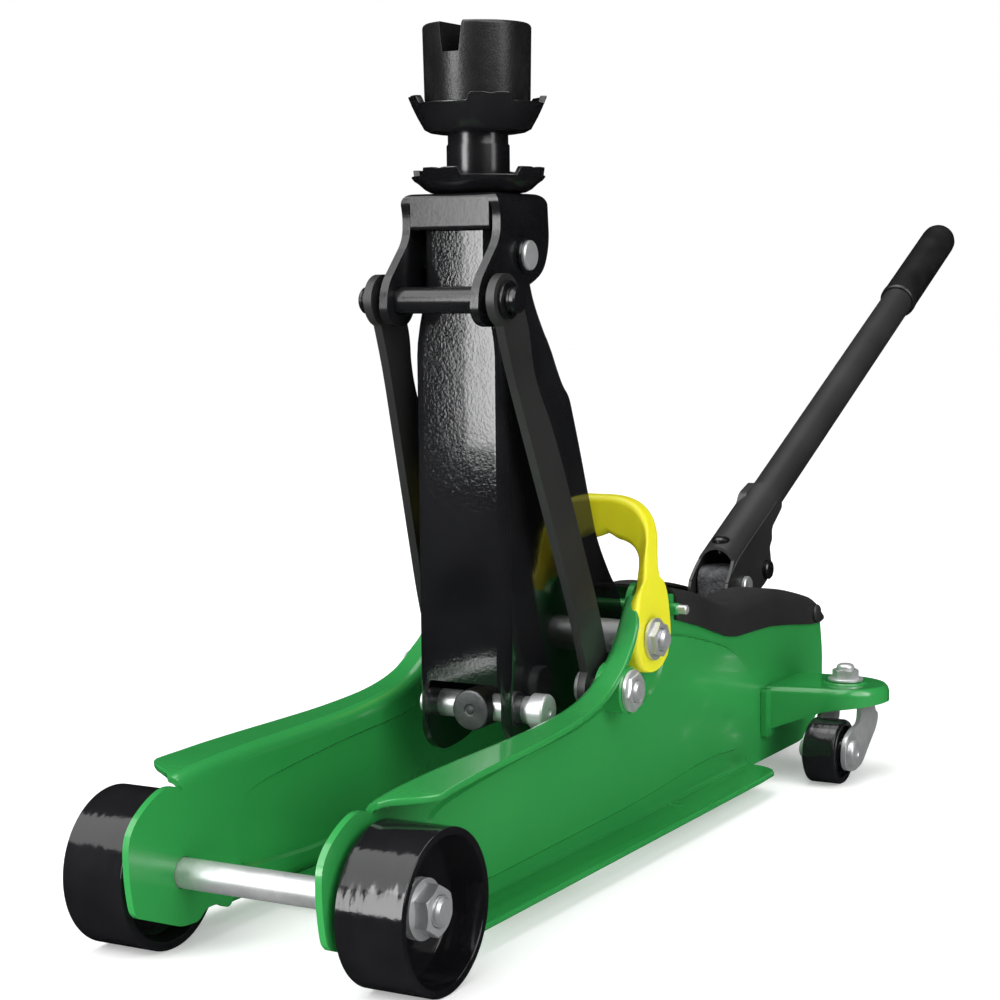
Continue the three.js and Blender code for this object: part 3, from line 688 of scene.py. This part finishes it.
piece("front_floor_plate", cross_plate(70, 150), bevel=0.8)
piece("rear_floor_plate", cross_plate(318, 440), bevel=0.8)

# ---------------------------------------------------------------- front axle and wheels

piece("front_axle", turned("x", [
    *[(r, -h) for r, h in reversed(thread(5.9, 66, 78.6))][:-2], (6.3, -66), (6.3, 66),
    *thread(5.9, 66, 78.6)[1:],
], AXLE, 64), bevel=0)


def front_wheel():
    return turned("x", [
        (6.6, 50.2), (13.4, 50.2), (14, 50.8), (15, 57), (26.4, 57.4), (27.2, 56.6), (28.6, 50.4),
        (29, 49.8), (32, 49.8), (32.3, 50), (32.5, 50.4), (32.5, 79.2), (32.3, 79.6), (32, 79.8),
        (29.6, 79.8), (29.2, 79.4), (28, 65.4), (27.2, 64.2), (25.5, 63.8), (17.4, 63.8), (16.2, 64.6),
        (15.6, 66), (6.6, 66),
    ], AXLE, 128)


both("front_wheel_{}", front_wheel, bevel=0.25, segments=2, angle=35)


def washer():
    return turned("x", [(6.2, 66.3), (12, 66.3), (12, 68), (11.7, 68.3), (6.2, 68.3)], AXLE, 72)


both("axle_washer_{}", washer, bevel=0)
both("axle_nut_{}", lambda: hex_nut("x", AXLE, 10.4, 6.2, 68.6, 76.8, 12.0, 0.5), bevel=0.25)

# ---------------------------------------------------------------- pivots through the side plates

piece("main_pivot_shaft", turned("x", both_ends(
    thread(5, 55.4, 62.4)[:1:-1] + [(5, 55.4), (5, 43.4), (8, 43.4)]), P, 48), bevel=0)
both("pivot_nut_{}", lambda: hex_nut("x", P, 8.7, M10_HOLE, LEG_OUT + 0.3, LEG_OUT + 5.2, 10, 0.75),
     bevel=0.25)
both("link_bolt_{}", lambda: turned("x", [
    (0, 33), (7.4, 33), (8, 33.6), (8, 37.6), (5, 37.6), (5, 57), *thread(5, 57, 63)[2:],
], L, 48), bevel=0)
both("link_nut_{}", lambda: hex_nut("x", L, 8.7, M10_HOLE, BOSS_END + 0.2, BOSS_END + 3.8, 9.8, 0.2),
     bevel=0.25)
piece("spring_anchor_rod", bar("x", SPRING_ROD, 3, -52, 52, 0.6), bevel=0)
for name, side in SIDES:
    piece("spring_anchor_rod", mirrored(side, bar("x", SPRING_ROD, 2.3, 51.5, 56.5, 0.5)), bevel=0,
          material="zinc_steel", extra=f"tip_{name}")
piece("trunnion_rod", turned("x", both_ends([
    (0, 50.6), (2.4, 50.6), (4.2, 50.2), (5, 49.4), (5, 48.7), (4, 48.7)]), T), bevel=0.3, angle=40,
    material="satin_black")

# ---------------------------------------------------------------- carry handle

# The handle's rear and front y by height, the heights of its foot and of its bar's top and underside, and the
# heights of the leg's rings.
HANDLE_REAR = [
    (84.5, 241), (86, 247.5), (90, 253.4), (97, 256.8), (105, 257.6), (113, 257.2), (118, 256.2),
    (121.5, 254.4), (124, 249.6), (127, 248.2), (136, 248.6), (169, 255)]
HANDLE_FRONT = [
    (84.5, 231), (86, 225.2), (90, 220.4), (97, 218), (105.5, 218.2), (110, 219.4), (117, 222.2),
    (121, 224.4), (124, 229.4), (127, 232), (136, 234.4), (147, 239), (156, 241.6), (169, 243)]
HANDLE_FOOT = 84.5
BAR_TOP = 166.5
BAR_BOTTOM = 145.5
LEG_HEIGHTS = (HANDLE_FOOT, 85, 86, 87.5, 90, 93, 97, 100)
BEND_STEPS = 18


def carry_handle():
    def arch(top, out, setback):
        return rounded_line([
            (HANDLE_FOOT, out), (top, out, setback), (top, -out, setback), (HANDLE_FOOT, -out)], BEND_STEPS)

    def leg(height, side):
        return Vector((height, side * LEG_OUT)), Vector((height, side * LEG_IN))

    def straight(start, end, count):
        shares = [k / count for k in range(count)]
        return [(start[0].lerp(end[0], t), start[1].lerp(end[1], t)) for t in shares]

    bends = list(zip(arch(BAR_TOP, BAR_OUT, 25), arch(BAR_BOTTOM, LEG_IN, 17)))[1:-1]
    middle_start, middle_end = bends[BEND_STEPS], bends[BEND_STEPS + 1]
    pairs = [leg(height, 1) for height in LEG_HEIGHTS[:-1]]
    pairs += straight(leg(LEG_HEIGHTS[-1], 1), bends[0], 16) + bends[:BEND_STEPS]
    pairs += straight(middle_start, middle_end, 60) + bends[BEND_STEPS + 1:]
    pairs += straight(bends[-1], leg(LEG_HEIGHTS[-1], -1), 16)
    pairs += [leg(height, -1) for height in reversed(LEG_HEIGHTS)]
    rings = []
    for outer, inner in pairs:
        if outer.x > 158:
            wave = min(1, max(0, (34 - abs(inner.y)) / 6))
            inner = inner + Vector((wave * (1.3 - 1.3 * math.cos(2 * math.pi * inner.y / 19)), 0))
        half = (outer - inner) / 2
        centre = (outer + inner) / 2
        ring = []
        corner = min(half.length * 0.75, 3.6)
        rear, front = read(HANDLE_REAR, centre.x), read(HANDLE_FRONT, centre.x)
        deep = (rear - front) / 2
        for quarter, (su, sv) in enumerate(((1, 1), (-1, 1), (-1, -1), (1, -1))):
            for k in range(6):
                angle = math.radians(90 * quarter + 90 * k / 5)
                u = su * (1 - corner / half.length) + corner / half.length * math.cos(angle)
                v = sv * (deep - corner) + corner * math.sin(angle)
                place = centre + half * u
                ring.append(Vector((place.y, (front + rear) / 2 + v, place.x)))
        rings.append(ring)
    return cut(loft(rings), bar("x", P, M10_HOLE, -60, 60, steps=48))


piece("carry_handle", carry_handle(), bevel=0.4, angle=50)

# ---------------------------------------------------------------- rear cover

COVER_EDGE = [
    (277, 102.8), (308, 94.8), (320.6, 90.9), (337, 85.9), (346, 84.2), (354, 83.3), (374.5, 82.9),
    (399.6, 82), (430, 78.5), (450, 75.6), (458, 74.6), (468, 73.8), (474, 74), (478, 75)]


def rear_cover():
    sheet = 1.5
    half = LEG_IN + sheet
    rings = []
    for y, z in spaced(smooth(COVER_LINE), 3):
        low = read(COVER_EDGE, y)
        bend = min(7.0, z - low - 1)
        corner = (half - bend, z - bend)
        outer = mirrored_line([(half, low), *arc(corner, bend, 0, 90, 8)])
        inner = mirrored_line([(half - sheet, low), *arc(corner, bend - sheet, 0, 90, 8)])
        rings.append([Vector((x, y, h)) for x, h in (*outer, *reversed(inner))])
    cover = loft(rings)
    window = prism("z", rounded([(-25, 334, 6), (25, 334, 6), (25, 500), (-25, 500)]), 70, 130)
    return cut(cover, window, bar("x", T, M8_HOLE, -60, 60, steps=48))


piece("rear_cover", rear_cover(), bevel=0.35)

# ---------------------------------------------------------------- castors

CROWN_Z = 50.0
AXLE_BACK = 25.0
CASTOR_R = 17.2
KINGPIN_HOLE = 5.1


def castor_bracket():
    x, y = CASTOR

    def plan(shrink, near=LEG_IN):
        reach = 23.5 - shrink
        return plain((near, 394 + shrink), (x - 6, y - reach), *arc(CASTOR, reach, -90, 90, 40),
                     (x - 6, y + reach), (near, 446 - shrink))

    skirt = rounded([(CROWN_Z, 40), (CROWN_Z, 112), (42, 112), (38, 80, 12), (35.2, 72, 12), (25, 45)], 8)
    outside = tapered("z", [
        (plan(0), 20), (plan(0), CROWN_Z - 4), (plan(0.7), CROWN_Z - 2), (plan(2), CROWN_Z - 0.6),
        (plan(4), CROWN_Z)])
    shell = meet(outside, prism("y", skirt, 370, 480))
    shell = cut(shell, prism("z", plan(3, LEG_IN - 3), 10, CROWN_Z - 3))
    ring = turned("z", [
        (KINGPIN_HOLE, CROWN_Z - 1), (12.4, CROWN_Z - 1), (12, CROWN_Z + 0.2), (11.2, CROWN_Z + 0.8),
        (KINGPIN_HOLE, CROWN_Z + 0.8)], CASTOR, 72)
    shell = join(shell, ring)
    tongue = rounded([(388, 23, 2), (402, 23), (402, CROWN_Z - 1), (388, CROWN_Z - 1, 2)])
    shell = join(shell, prism("x", tongue, LEG_IN, LEG_IN + SHEET))
    return cut(shell, bar("z", CASTOR, KINGPIN_HOLE, 40, 60, steps=48))


def castor_fork():
    x, y = CASTOR
    wheel_y = y - AXLE_BACK
    top = CROWN_Z - 3.3
    crown = prism("z", rounded([
        (x - 12.3, y - 14, 3), (x + 12.3, y - 14, 3), (x + 14, y, 9), (x + 8, y + 14, 9), (x - 8, y + 14, 9),
        (x - 14, y, 9)]), top - 2.5, top)
    leg = rounded([
        (y + 13, top), (y - 8, top), (y - 10, 30.5, 4), (wheel_y + 1, 28.5, 5), (wheel_y - 8, 24, 6),
        (wheel_y - 9, 10, 8), (wheel_y + 4, 5.5, 8), (y - 7, 7.5, 4), (y + 1, 13.5, 4), (y + 16, 24, 4),
        (y + 19, 31, 4), (y + 13, 33.5, 4)], 8)
    cheeks = [prism("x", leg, x + side * 9.8, x + side * 12.3) for side in (-1, 1)]
    holes = [bar("z", CASTOR, KINGPIN_HOLE, 30, 60, steps=48),
             bar("x", (wheel_y, CASTOR_R), 3.5, x - 20, x + 20, steps=40)]
    return cut(join(crown, *cheeks), *holes)


def castor_wheel():
    x, r = CASTOR[0], CASTOR_R
    return turned("x", [
        (3.6, x - 8.8), (7, x - 9), (7.6, x - 8.4), (8, x - 7), (12, x - 7), (12.8, x - 8.4),
        (13.4, x - 9), (r - 1.4, x - 9), (r - 0.4, x - 8.4), (r, x - 7.4), (r, x + 7.4),
        (r - 0.4, x + 8.4), (r - 1.4, x + 9), (14.2, x + 9), (13.6, x + 8.4), (13, x + 6.4),
        (10, x + 6.2), (9.6, x + 7.4), (7.2, x + 7.6), (6.8, x + 9), (3.6, x + 8.8),
    ], (CASTOR[1] - AXLE_BACK, r), 96)


def castor_axle():
    x = CASTOR[0]
    return turned("x", [
        (0, x - 15.5), (3.6, x - 15.5), (4.6, x - 15), (5, x - 14), (5, x - 12.6), (3.2, x - 12.6),
        (3.2, x + 12.6), (6.5, x + 12.6), (6.5, x + 14.6), (6, x + 15.4), (4.8, x + 16), (2.4, x + 16.2),
        (2, x + 15.6), (0, x + 15.5),
    ], (CASTOR[1] - AXLE_BACK, CASTOR_R), 64)


def kingpin():
    return turned("z", [
        (0, 40.6), (5.6, 40.9), (7, 41.8), (7, 43.9), (4.8, 43.9), (4.8, 56.6), (4.4, 57), (4.8, 57.5),
        (4.8, 58.6), (4.3, 59.6), (3, 60.2), (0, 60.5),
    ], CASTOR, 64)


def kingpin_nut():
    nut = hex_nut("z", CASTOR, 7.2, 5.0, 52.2, 57.2, turn=0.2)
    plate = turned("z", [
        (KINGPIN_HOLE, 51), (9.2, 51), (9.5, 51.3), (9.5, 52.2), (9.2, 52.5), (KINGPIN_HOLE, 52.5),
    ], CASTOR, 72)
    return join(nut, plate)


both("castor_bracket_{}", castor_bracket, bevel=0.8, segments=3)
both("castor_fork_{}", castor_fork, bevel=0.5)
both("castor_wheel_{}", castor_wheel, bevel=0.2)
both("castor_axle_{}", castor_axle, bevel=0)
both("kingpin_{}", kingpin, bevel=0)
both("kingpin_nut_{}", kingpin_nut, bevel=0.25)

# ---------------------------------------------------------------- hydraulic power unit
# Drawn along its own axis from the trunnion, with -y to the front, then tilted about the trunnion.

UNIT = about(T, UNIT_TILT)
BLOCK_FRONT = -85
TUBE_FRONT = -168
MOUTH = -190
PLUNGER_Y = 12
VALVE = (-14, -13)


def in_unit(place):
    away = Vector((place[0] - T[0], place[1] - T[1]))
    away.rotate(Matrix.Rotation(-UNIT_TILT, 2))
    return away


def pump_block():
    body = prism("x", rounded([
        (BLOCK_FRONT, -24, 4), (22, -24, 4), (22, 6, 4), (-8, 6, 2), (-12, -4),
        (BLOCK_FRONT, -4, 4)]), -22, 22)
    lug = prism("x", rounded([(-34, -6), (-34, 28, 9), (-8, 28, 8), (-2, 4), (-2, -6)]), -9, 9)
    boss = bar("z", (0, PLUNGER_Y), 9.4, 0, 9, 0.8)
    block = join(body, lug, boss)
    return transformed(cut(
        block,
        bar("x", (0, 0), M8_HOLE, -30, 30),
        bar("x", in_unit(K), M8_HOLE, -30, 30),
        bar("z", (0, PLUNGER_Y), 6.3, -18, 20),
        bar("y", VALVE, M8_HOLE, 8, 30),
    ), UNIT)


piece("pump_block", pump_block(), bevel=1.0, segments=3)
piece("reservoir_tube", transformed(turned("y", [
    (14, TUBE_FRONT), (20.2, TUBE_FRONT), (21, TUBE_FRONT + 0.8), (21, BLOCK_FRONT - 1.1),
    (20.2, BLOCK_FRONT - 0.3), (14, BLOCK_FRONT - 0.3)]), UNIT), bevel=0)
gland = turned("y", [
    (14, MOUTH), (17, MOUTH), (18, MOUTH + 0.6), (19, MOUTH + 1.8), (19, TUBE_FRONT - 1),
    (18.3, TUBE_FRONT - 0.3), (14, TUBE_FRONT - 0.3)])
for i in range(4):
    angle = math.radians(45 + 90 * i)
    notch = prism("y", rounded([(16.4, -3, 1), (22, -3), (22, 3), (16.4, 3, 1)], 4), MOUTH - 1, MOUTH + 5)
    gland = cut(gland, transformed(notch, Matrix.Rotation(angle, 4, "Y")))
piece("gland_nut", transformed(gland, UNIT), bevel=0.4)
piece("pump_plunger", transformed(turned("z", [
    (0, -17), (5.4, -17), (6, -16.4), (6, 13.6), (5.2, 14.4), (0, 14.4)], (0, PLUNGER_Y), 64), UNIT), bevel=0)
valve = turned("y", [
    (0, 9), (4, 9), (4, 24), (5.1, 24), (5.5, 24.4), (5.5, 32.4), (5, 33), (0, 33)], VALVE, 64)
valve = cut(valve, prism("z", plain((-14.2, 29), (-11.8, 29), (-11.8, 34), (-14.2, 34)), -25, 0))
piece("release_valve", transformed(valve, UNIT), bevel=0.2)
piece("lever_pivot_pin", turned("x", [
    (0, -14.5), (5.4, -14.5), (6, -13.9), (6, -12.3), (4, -12.3), (4, 12.3), (6, 12.3), (6, 13.9),
    (5.4, 14.5), (2.6, 14.5), (2, 14), (0, 13.9)], K, 64), bevel=0)

rod = turned("y", [
    (0, -11), (1.4, -11), (1.8, -10.5), (2.6, -10.5), (3, -11), (8, -11), (9.1, -10.6), (9.5, -9.6),
    (9.5, 132), (0, 132)])
rod = cut(rod, bar("x", (0, 0), RAM_PIN_HOLE, -20, 20))
piece("ram_rod", transformed(rod, about(R, UNIT_TILT)), bevel=0.3, material="dark_steel")

# ---------------------------------------------------------------- lift arm

ARM_FACE = P[0] - 84.5
ARM_HALF = 23.5
ARM_SIDE = [
    (ARM_FACE - 1, 84), (ARM_FACE - 1, 292, 3), (ARM_FACE + 22, 294, 8), (183, 275, 5), (186.7, 250, 10),
    (205, 221, 12), (212, 216, 5), (222, 192, 14), (233, 163, 18), (240, 145, 14), (256, 124, 10),
    (264.7, 116, 6), (268, 98, 16), (252, 78, 14), (216, 72, 16), (196, 57, 8), (180, 53.5, 8),
    (162, 53, 10), (151.4, 68, 10), (ARM_FACE - 1, 78)]
ARM_WIDTH = [(0, ARM_HALF), (236, ARM_HALF), (242, 23.1), (250, 21.8), (262, 19.2), (269, 18.2), (276, 18)]


def channel(half, sheet=3.5, bend=5.5, back=300):
    """A folded channel in plan, open to the rear."""
    corner = (half - bend, ARM_FACE + bend)
    outer = mirrored_line([(half, back), *arc(corner, bend, 0, -90, 8)])
    inner = mirrored_line([(half - sheet, back), *arc(corner, bend - sheet, 0, -90, 8)])
    return plain(*outer, *reversed(inner))


def lift_arm():
    heights = [40, 232, 236, 239, 242, 246, 250, 256, 262, 266, 269, 272, 276, 300]
    folded = tapered("z", [(channel(read(ARM_WIDTH, z)), z) for z in heights])
    shape = prism("x", rounded(ARM_SIDE), -30, 30)
    low = prism("y", rounded([(40, -19.9), (88.9, -19.9, 5), (88.9, 19.9, 5), (40, 19.9)]), 130, 158)
    arm = cut(meet(folded, shape), low)
    return cut(
        arm,
        bar("x", P, SHAFT_HOLE, -40, 40),
        bar("x", A, TOP_PIN_HOLE, -40, 40),
        bar("x", R, RAM_PIN_HOLE, -40, 40),
    )


piece("lift_arm", lift_arm(), bevel=0.6, segments=3, material="hammered_black")
piece("ram_pin", turned("x", [
    (0, -30), (5.4, -30), (6.25, -29.2), (6.25, 27.5), (8, 27.5), (8, 33.8), (7.4, 34.7), (6.4, 35),
    (2.2, 35), (1.6, 34.4), (0, 34.2)], R, 72), bevel=0)
piece("ram_pin_clip", turned("x", [
    (6.5, -26), (9.2, -26), (9.5, -25.7), (9.5, -24.7), (9.2, -24.4), (6.5, -24.4)], R, 64), bevel=0)


def levelling_link():
    span = Vector((A[0] - P[0], A[1] - P[1]))
    length = span.length
    uy, uz = span / length

    def at(along, front, setback=0):
        return (L[0] + along * uy - front * uz, L[1] + along * uz + front * uy, setback)

    strip = rounded([at(*p) for p in (
        (0, 7), (0, -14), (124, -15, 24), (152, -9.5, 16), (174, -15, 10), (length, -11.5), (length, 7))])
    eyes = [bar("x", place, radius, 20, 50, steps=72) for place, radius in ((L, 14), (B, 11.5))]
    side = join(prism("x", strip, 20, 50), *eyes)
    front = rounded([
        (60, 38), (118, 38, 16), (235, 29, 16), (290, 29), (290, 33), (235, 33, 16), (118, 42, 16), (60, 42)])
    link = meet(side, prism("y", front, 100, 260))
    return cut(link, bar("x", L, M10_HOLE, 30, 50), bar("x", B, LINK_PIN_HOLE, 20, 50))


both("levelling_link_{}", levelling_link, bevel=0.6, segments=3, material="satin_black")
both("link_pin_clip_{}", lambda: turned("x", [
    (6.2, 33.3), (8.2, 33.3), (8.5, 33.6), (8.5, 34.7), (8.2, 35), (6.2, 35)], B, 64), bevel=0,
     material="black_paint")

# ---------------------------------------------------------------- saddle bracket and saddle

BRACKET_TOP = 308.0


def saddle_bracket():
    side = rounded([
        (143, 308, 5), (145.5, 298, 3), (145.2, 288, 6), (126, 268, 6), (124, 252, 10), (142, 248, 10),
        (152, 262, 10), (176, 268.7, 6), (186, 274, 6), (190.8, 286, 6), (189, 308, 6)])
    bend = 5.0
    loop = [(200, 25), *arc((BRACKET_TOP - bend, 25 - bend), bend, 90, 0, 10)]
    loop += [(z, -x) for z, x in reversed(loop)]
    inner = [(200, 21), (304 - 1.5, 21), (304 - 0.5, 20.5), (304, 19.5)]
    inner += [(z, -x) for z, x in reversed(inner)]
    folded = prism("y", plain(*loop, *reversed(inner)), 100, 210)
    lip = prism("x", rounded([(144, 292, 2), (147.5, 292), (147.5, 306), (144, 306)]), -20, 20)
    body = join(meet(folded, prism("x", side, -26, 26)), lip)
    return cut(
        body,
        bar("x", A, TOP_PIN_HOLE, -40, 40),
        bar("x", B, LINK_PIN_HOLE, -40, 40),
        bar("z", CENTRE, 10.3, 300, 310),
    )


piece("saddle_bracket", saddle_bracket(), bevel=0.6, segments=3)
piece("arm_top_pin", turned("x", both_ends([
    (0, 28.8), (5.9, 28.8), (6.6, 28.2), (6.6, 25.3)]), A, 72), bevel=0)
for side in (-1, 1):
    collar = turned("x", [(6.7, 25.4), (7.8, 25.4), (7.8, 26.6), (7.2, 27.2), (6.7, 27.2)], A, 64)
    piece("arm_top_pin", mirrored(side, collar), bevel=0, material="black_paint", extra=f"collar_{side + 2}")
piece("link_pin", turned("x", both_ends([
    (0, 39.6), (5.2, 39.6), (5.9, 38.9), (5.9, 37.7), (5.4, 37.5), (5.4, 36.8), (5.9, 36.6)]), B, 72),
    bevel=0, material="black_paint")


def dish(bottom, rim, first_tab):
    """A pressed dish. Its rim rises into four tabs, and each tab has a shallow notch."""

    def raise_rim(angle, radius, height):
        if height < rim - 1.5 or radius < 25:
            return radius, height
        away = math.degrees(angle - first_tab)
        nearest = min(abs((away - 90 * i + 180) % 360 - 180) for i in range(4))
        share = min(1, max(0, (20 - nearest) / 2.6))
        return radius + 0.9 * share, height + 3.4 * share - 0.6 * max(0, 1 - nearest / 6)

    mid = (bottom + rim) / 2
    return turned("z", [
        (0, bottom), (18.5, bottom), (21.5, bottom + 0.5), (24, bottom + 1.8), (27, mid + 0.6),
        (28.9, rim - 2), (30.1, rim - 0.5), (30, rim), (27.4, rim), (27, rim - 0.5), (25, mid + 1.6),
        (22, bottom + 4.6), (20, bottom + 4), (0, bottom + 4),
    ], CENTRE, 240, raise_rim)


SEAT = BRACKET_TOP + 0.3
saddle = join(dish(SEAT, 316, math.radians(-5.4)), bar("z", CENTRE, 10, 296, BRACKET_TOP + 2, 0.8))
piece("saddle_dish", cut(saddle, bar("z", CENTRE, 8.3, 290, 320)), bevel=0.3, angle=40)
POST_FOOT = BRACKET_TOP + 4.6
post = turned("z", [
    (0, 299), (7.4, 299), (8, 299.8), (8, POST_FOOT), (13.4, POST_FOOT), (14.2, POST_FOOT + 0.8),
    (14.2, 329.6), (13.6, 330.4), (13.6, 337), (0, 337)], CENTRE, 96)
adapter = join(dish(335, 348, math.radians(40.3)), post)
piece("extension_adapter", adapter, bevel=0.3, angle=40)


def rubber_pad():
    seat = 339.3
    body = turned("z", [
        (0, seat), (20.4, seat), (21.2, seat + 0.8), (23.8, 350), (24.4, 381.4), (24, 382.4),
        (23.2, 383), (0, 383),
    ], CENTRE, 128)
    slot = plain((369.6, -4.1), (369.6, 4.1), (384, 5.9), (384, -5.9))
    return cut(body, prism("y", slot, 120, 220))


piece("rubber_pad", rubber_pad(), bevel=0.7, segments=3)

# ---------------------------------------------------------------- pump lever
# The handle's round pieces are turned along y and then laid on the handle's slope.

HANDLE = about(HANDLE_POINT, HANDLE_SLOPE)
GRIP_START = 258
GRIP_END = 361


def handle_socket():
    side = rounded([
        (424, 99, 4), (437, 110, 6), (455, 119, 5), (498, 139, 1.5), (504, 134, 3), (489, 124, 4),
        (490, 117, 3), (486, 114, 3), (488, 106, 5), (490, 99, 5), (477, 92, 5), (462, 88, 6),
        (440, 86, 8), (424, 92, 5)])
    cheeks = prism("x", side, -12, 12)
    sleeve = transformed(bar("y", (0, 0), 12, -92, -4, steps=72), HANDLE)
    bore = transformed(bar("y", (0, 0), 10.3, -95, 1, steps=72), HANDLE)
    underside = plain((420, 60), (420, 98), HANDLE_POINT, (520, 120), (500, 60))
    below = prism("x", underside, -10.3, 10.3)
    mouth = plain((400, 60), (424, 60), (424, 99), (436, 111), (434, 140), (400, 140))
    front = prism("x", mouth, -20, 20)
    tab = prism("x", rounded([(481, 135), (490, 136), (503, 146.6, 1), (502, 149, 1), (487, 144, 3)]), -8, -3)
    return cut(
        join(cheeks, sleeve, tab), bore, below, front,
        bar("x", K, M8_HOLE, -20, 20),
        bar("x", ROLLER, 3.3, -20, 20),
        bar("z", SOCKET_SCREW, 3, 90, 140),
    )


piece("handle_socket", handle_socket(), bevel=0.5)
piece("roller_pin", turned("x", both_ends([
    (0, 15), (4.8, 15), (5.5, 14.3), (5.5, 12.2), (3, 12.2), (3, 9.8), (6, 9.8)]), ROLLER, 64), bevel=0,
    material="black_paint")
piece("socket_screw", cut(turned("z", [
    (0, 114), (2.6, 114), (2.6, 120), (4.6, 120), (5, 120.4), (5, 122), (4, 123.2), (2.4, 123.6), (0, 123.6)],
    SOCKET_SCREW, 64), bar("z", SOCKET_SCREW, 1.8, 122, 125, steps=6)), bevel=0.2, material="black_paint")
piece("handle_tube", transformed(turned("y", [
    (8.4, -50), (9.6, -50), (10, -49.6), (10, GRIP_END - 8.4), (9.6, GRIP_END - 8), (8.4, GRIP_END - 8),
]), HANDLE), bevel=0)
piece("handle_grip", transformed(turned("y", [
    (10.3, GRIP_START), (11.2, GRIP_START), (11.9, GRIP_START + 0.8), (12, GRIP_START + 2.4),
    (12, GRIP_START + 4.6), (11.7, GRIP_START + 5.6), (11.7, GRIP_END - 9), (11.4, GRIP_END - 5),
    (10.4, GRIP_END - 2.2), (8.4, GRIP_END - 0.7), (4, GRIP_END), (0, GRIP_END), (0, GRIP_END - 7),
    (10.3, GRIP_END - 7),
]), HANDLE), bevel=0)

# ---------------------------------------------------------------- the CAD nodes' own finish

for name, node in frame["nodes"].items():
    node.data.materials.clear()
    node.data.materials.append(MATERIALS[SLOT[name]])

# ---------------------------------------------------------------- studio

scene = bpy.context.scene


def world():
    """White to the camera, and dimmer as a light, so that the dark paint keeps its depth."""
    made = bpy.data.worlds.new("studio")
    made.use_nodes = True
    tree = made.node_tree
    lit = tree.nodes["Background"]
    split = tree.nodes.new("ShaderNodeSeparateXYZ")
    tree.links.new(tree.nodes.new("ShaderNodeTexCoord").outputs["Generated"], split.inputs[0])
    height = tree.nodes.new("ShaderNodeMapRange")
    tree.links.new(split.outputs["Z"], height.inputs["Value"])
    for socket, value in (("From Min", -0.15), ("From Max", 0.9), ("To Min", 0.07), ("To Max", 0.42)):
        height.inputs[socket].default_value = value
    tree.links.new(height.outputs["Result"], lit.inputs["Strength"])
    seen = tree.nodes.new("ShaderNodeBackground")
    seen.inputs["Color"].default_value = (1, 1, 1, 1)
    seen.inputs["Strength"].default_value = 1.0
    choose = tree.nodes.new("ShaderNodeMixShader")
    tree.links.new(tree.nodes.new("ShaderNodeLightPath").outputs["Is Camera Ray"], choose.inputs["Fac"])
    tree.links.new(lit.outputs["Background"], choose.inputs[1])
    tree.links.new(seen.outputs["Background"], choose.inputs[2])
    tree.links.new(choose.outputs["Shader"], tree.nodes["World Output"].inputs["Surface"])
    scene.world = made


def sun(direction, strength, spread):
    data = bpy.data.lights.new("sun", "SUN")
    data.energy = strength
    data.angle = math.radians(spread)
    placed("sun", data).rotation_euler = Vector(direction).to_track_quat("-Z", "Y").to_euler()


def area_light(name, place, target, size, power, size_y=None):
    data = bpy.data.lights.new(name, "AREA")
    data.energy = power
    data.shape = "RECTANGLE"
    data.size = size
    data.size_y = size_y or size
    obj = placed(name, data)
    obj.location = place
    obj.rotation_euler = (Vector(target) - Vector(place)).to_track_quat("-Z", "Y").to_euler()


def floor():
    bm = bmesh.new()
    half = 6.0
    corners = ((-half, -half), (half, -half), (half, half), (-half, half))
    bm.faces.new([bm.verts.new((x, y, 0)) for x, y in corners])
    mesh = bpy.data.meshes.new("floor")
    bm.to_mesh(mesh)
    bm.free()
    obj = placed("floor", mesh)
    m = Nodes("floor")
    m.set(Base_Color=m.mix(m.noise(3, 2), (0.86, 0.86, 0.86), (0.9, 0.9, 0.9)), Roughness=0.8,
          Specular_IOR_Level=0.2, Emission_Color=(1, 1, 1), Emission_Strength=0.32)
    mesh.materials.append(m.material)
    obj.visible_glossy = False
    obj.visible_shadow = False


def camera():
    yaw, pitch, roll = (math.radians(a) for a in (29.18, 5.819, -0.604))
    forward = Vector((-math.sin(yaw) * math.cos(pitch), math.cos(yaw) * math.cos(pitch), -math.sin(pitch)))
    level = Vector((math.cos(yaw), math.sin(yaw), 0))
    up = level.cross(forward)
    right = level * math.cos(roll) + up * math.sin(roll)
    top = -level * math.sin(roll) + up * math.cos(roll)
    data = bpy.data.cameras.new("camera")
    data.lens = 79.62
    data.sensor_width = 36
    data.clip_end = 50
    obj = placed("camera", data)
    place = Vector((496.268, -701.476, 272.1)) * MM + Vector((0, AXLE_Y, 0))
    turn = Matrix((right, top, -forward)).transposed().to_4x4()
    obj.matrix_world = Matrix.Translation(place) @ turn
    scene.camera = obj


world()
floor()
camera()
sun((0.35, 0.55, -1), 2.0, 60)
sun((-0.8, 0.35, -0.6), 1.6, 50)
area_light("front_left", (-0.58, -1.75, 0.78), (-0.58, 0, 0.78), 0.56, 24, 1.44)
area_light("right", (1.9, -0.3, 0.8), (0, 0, 0.12), 0.5, 7, 1.3)
area_light("top", (0.0, 0.1, 1.9), (0, 0, 0.1), 1.3, 12)
scene.view_settings.view_transform = "Standard"
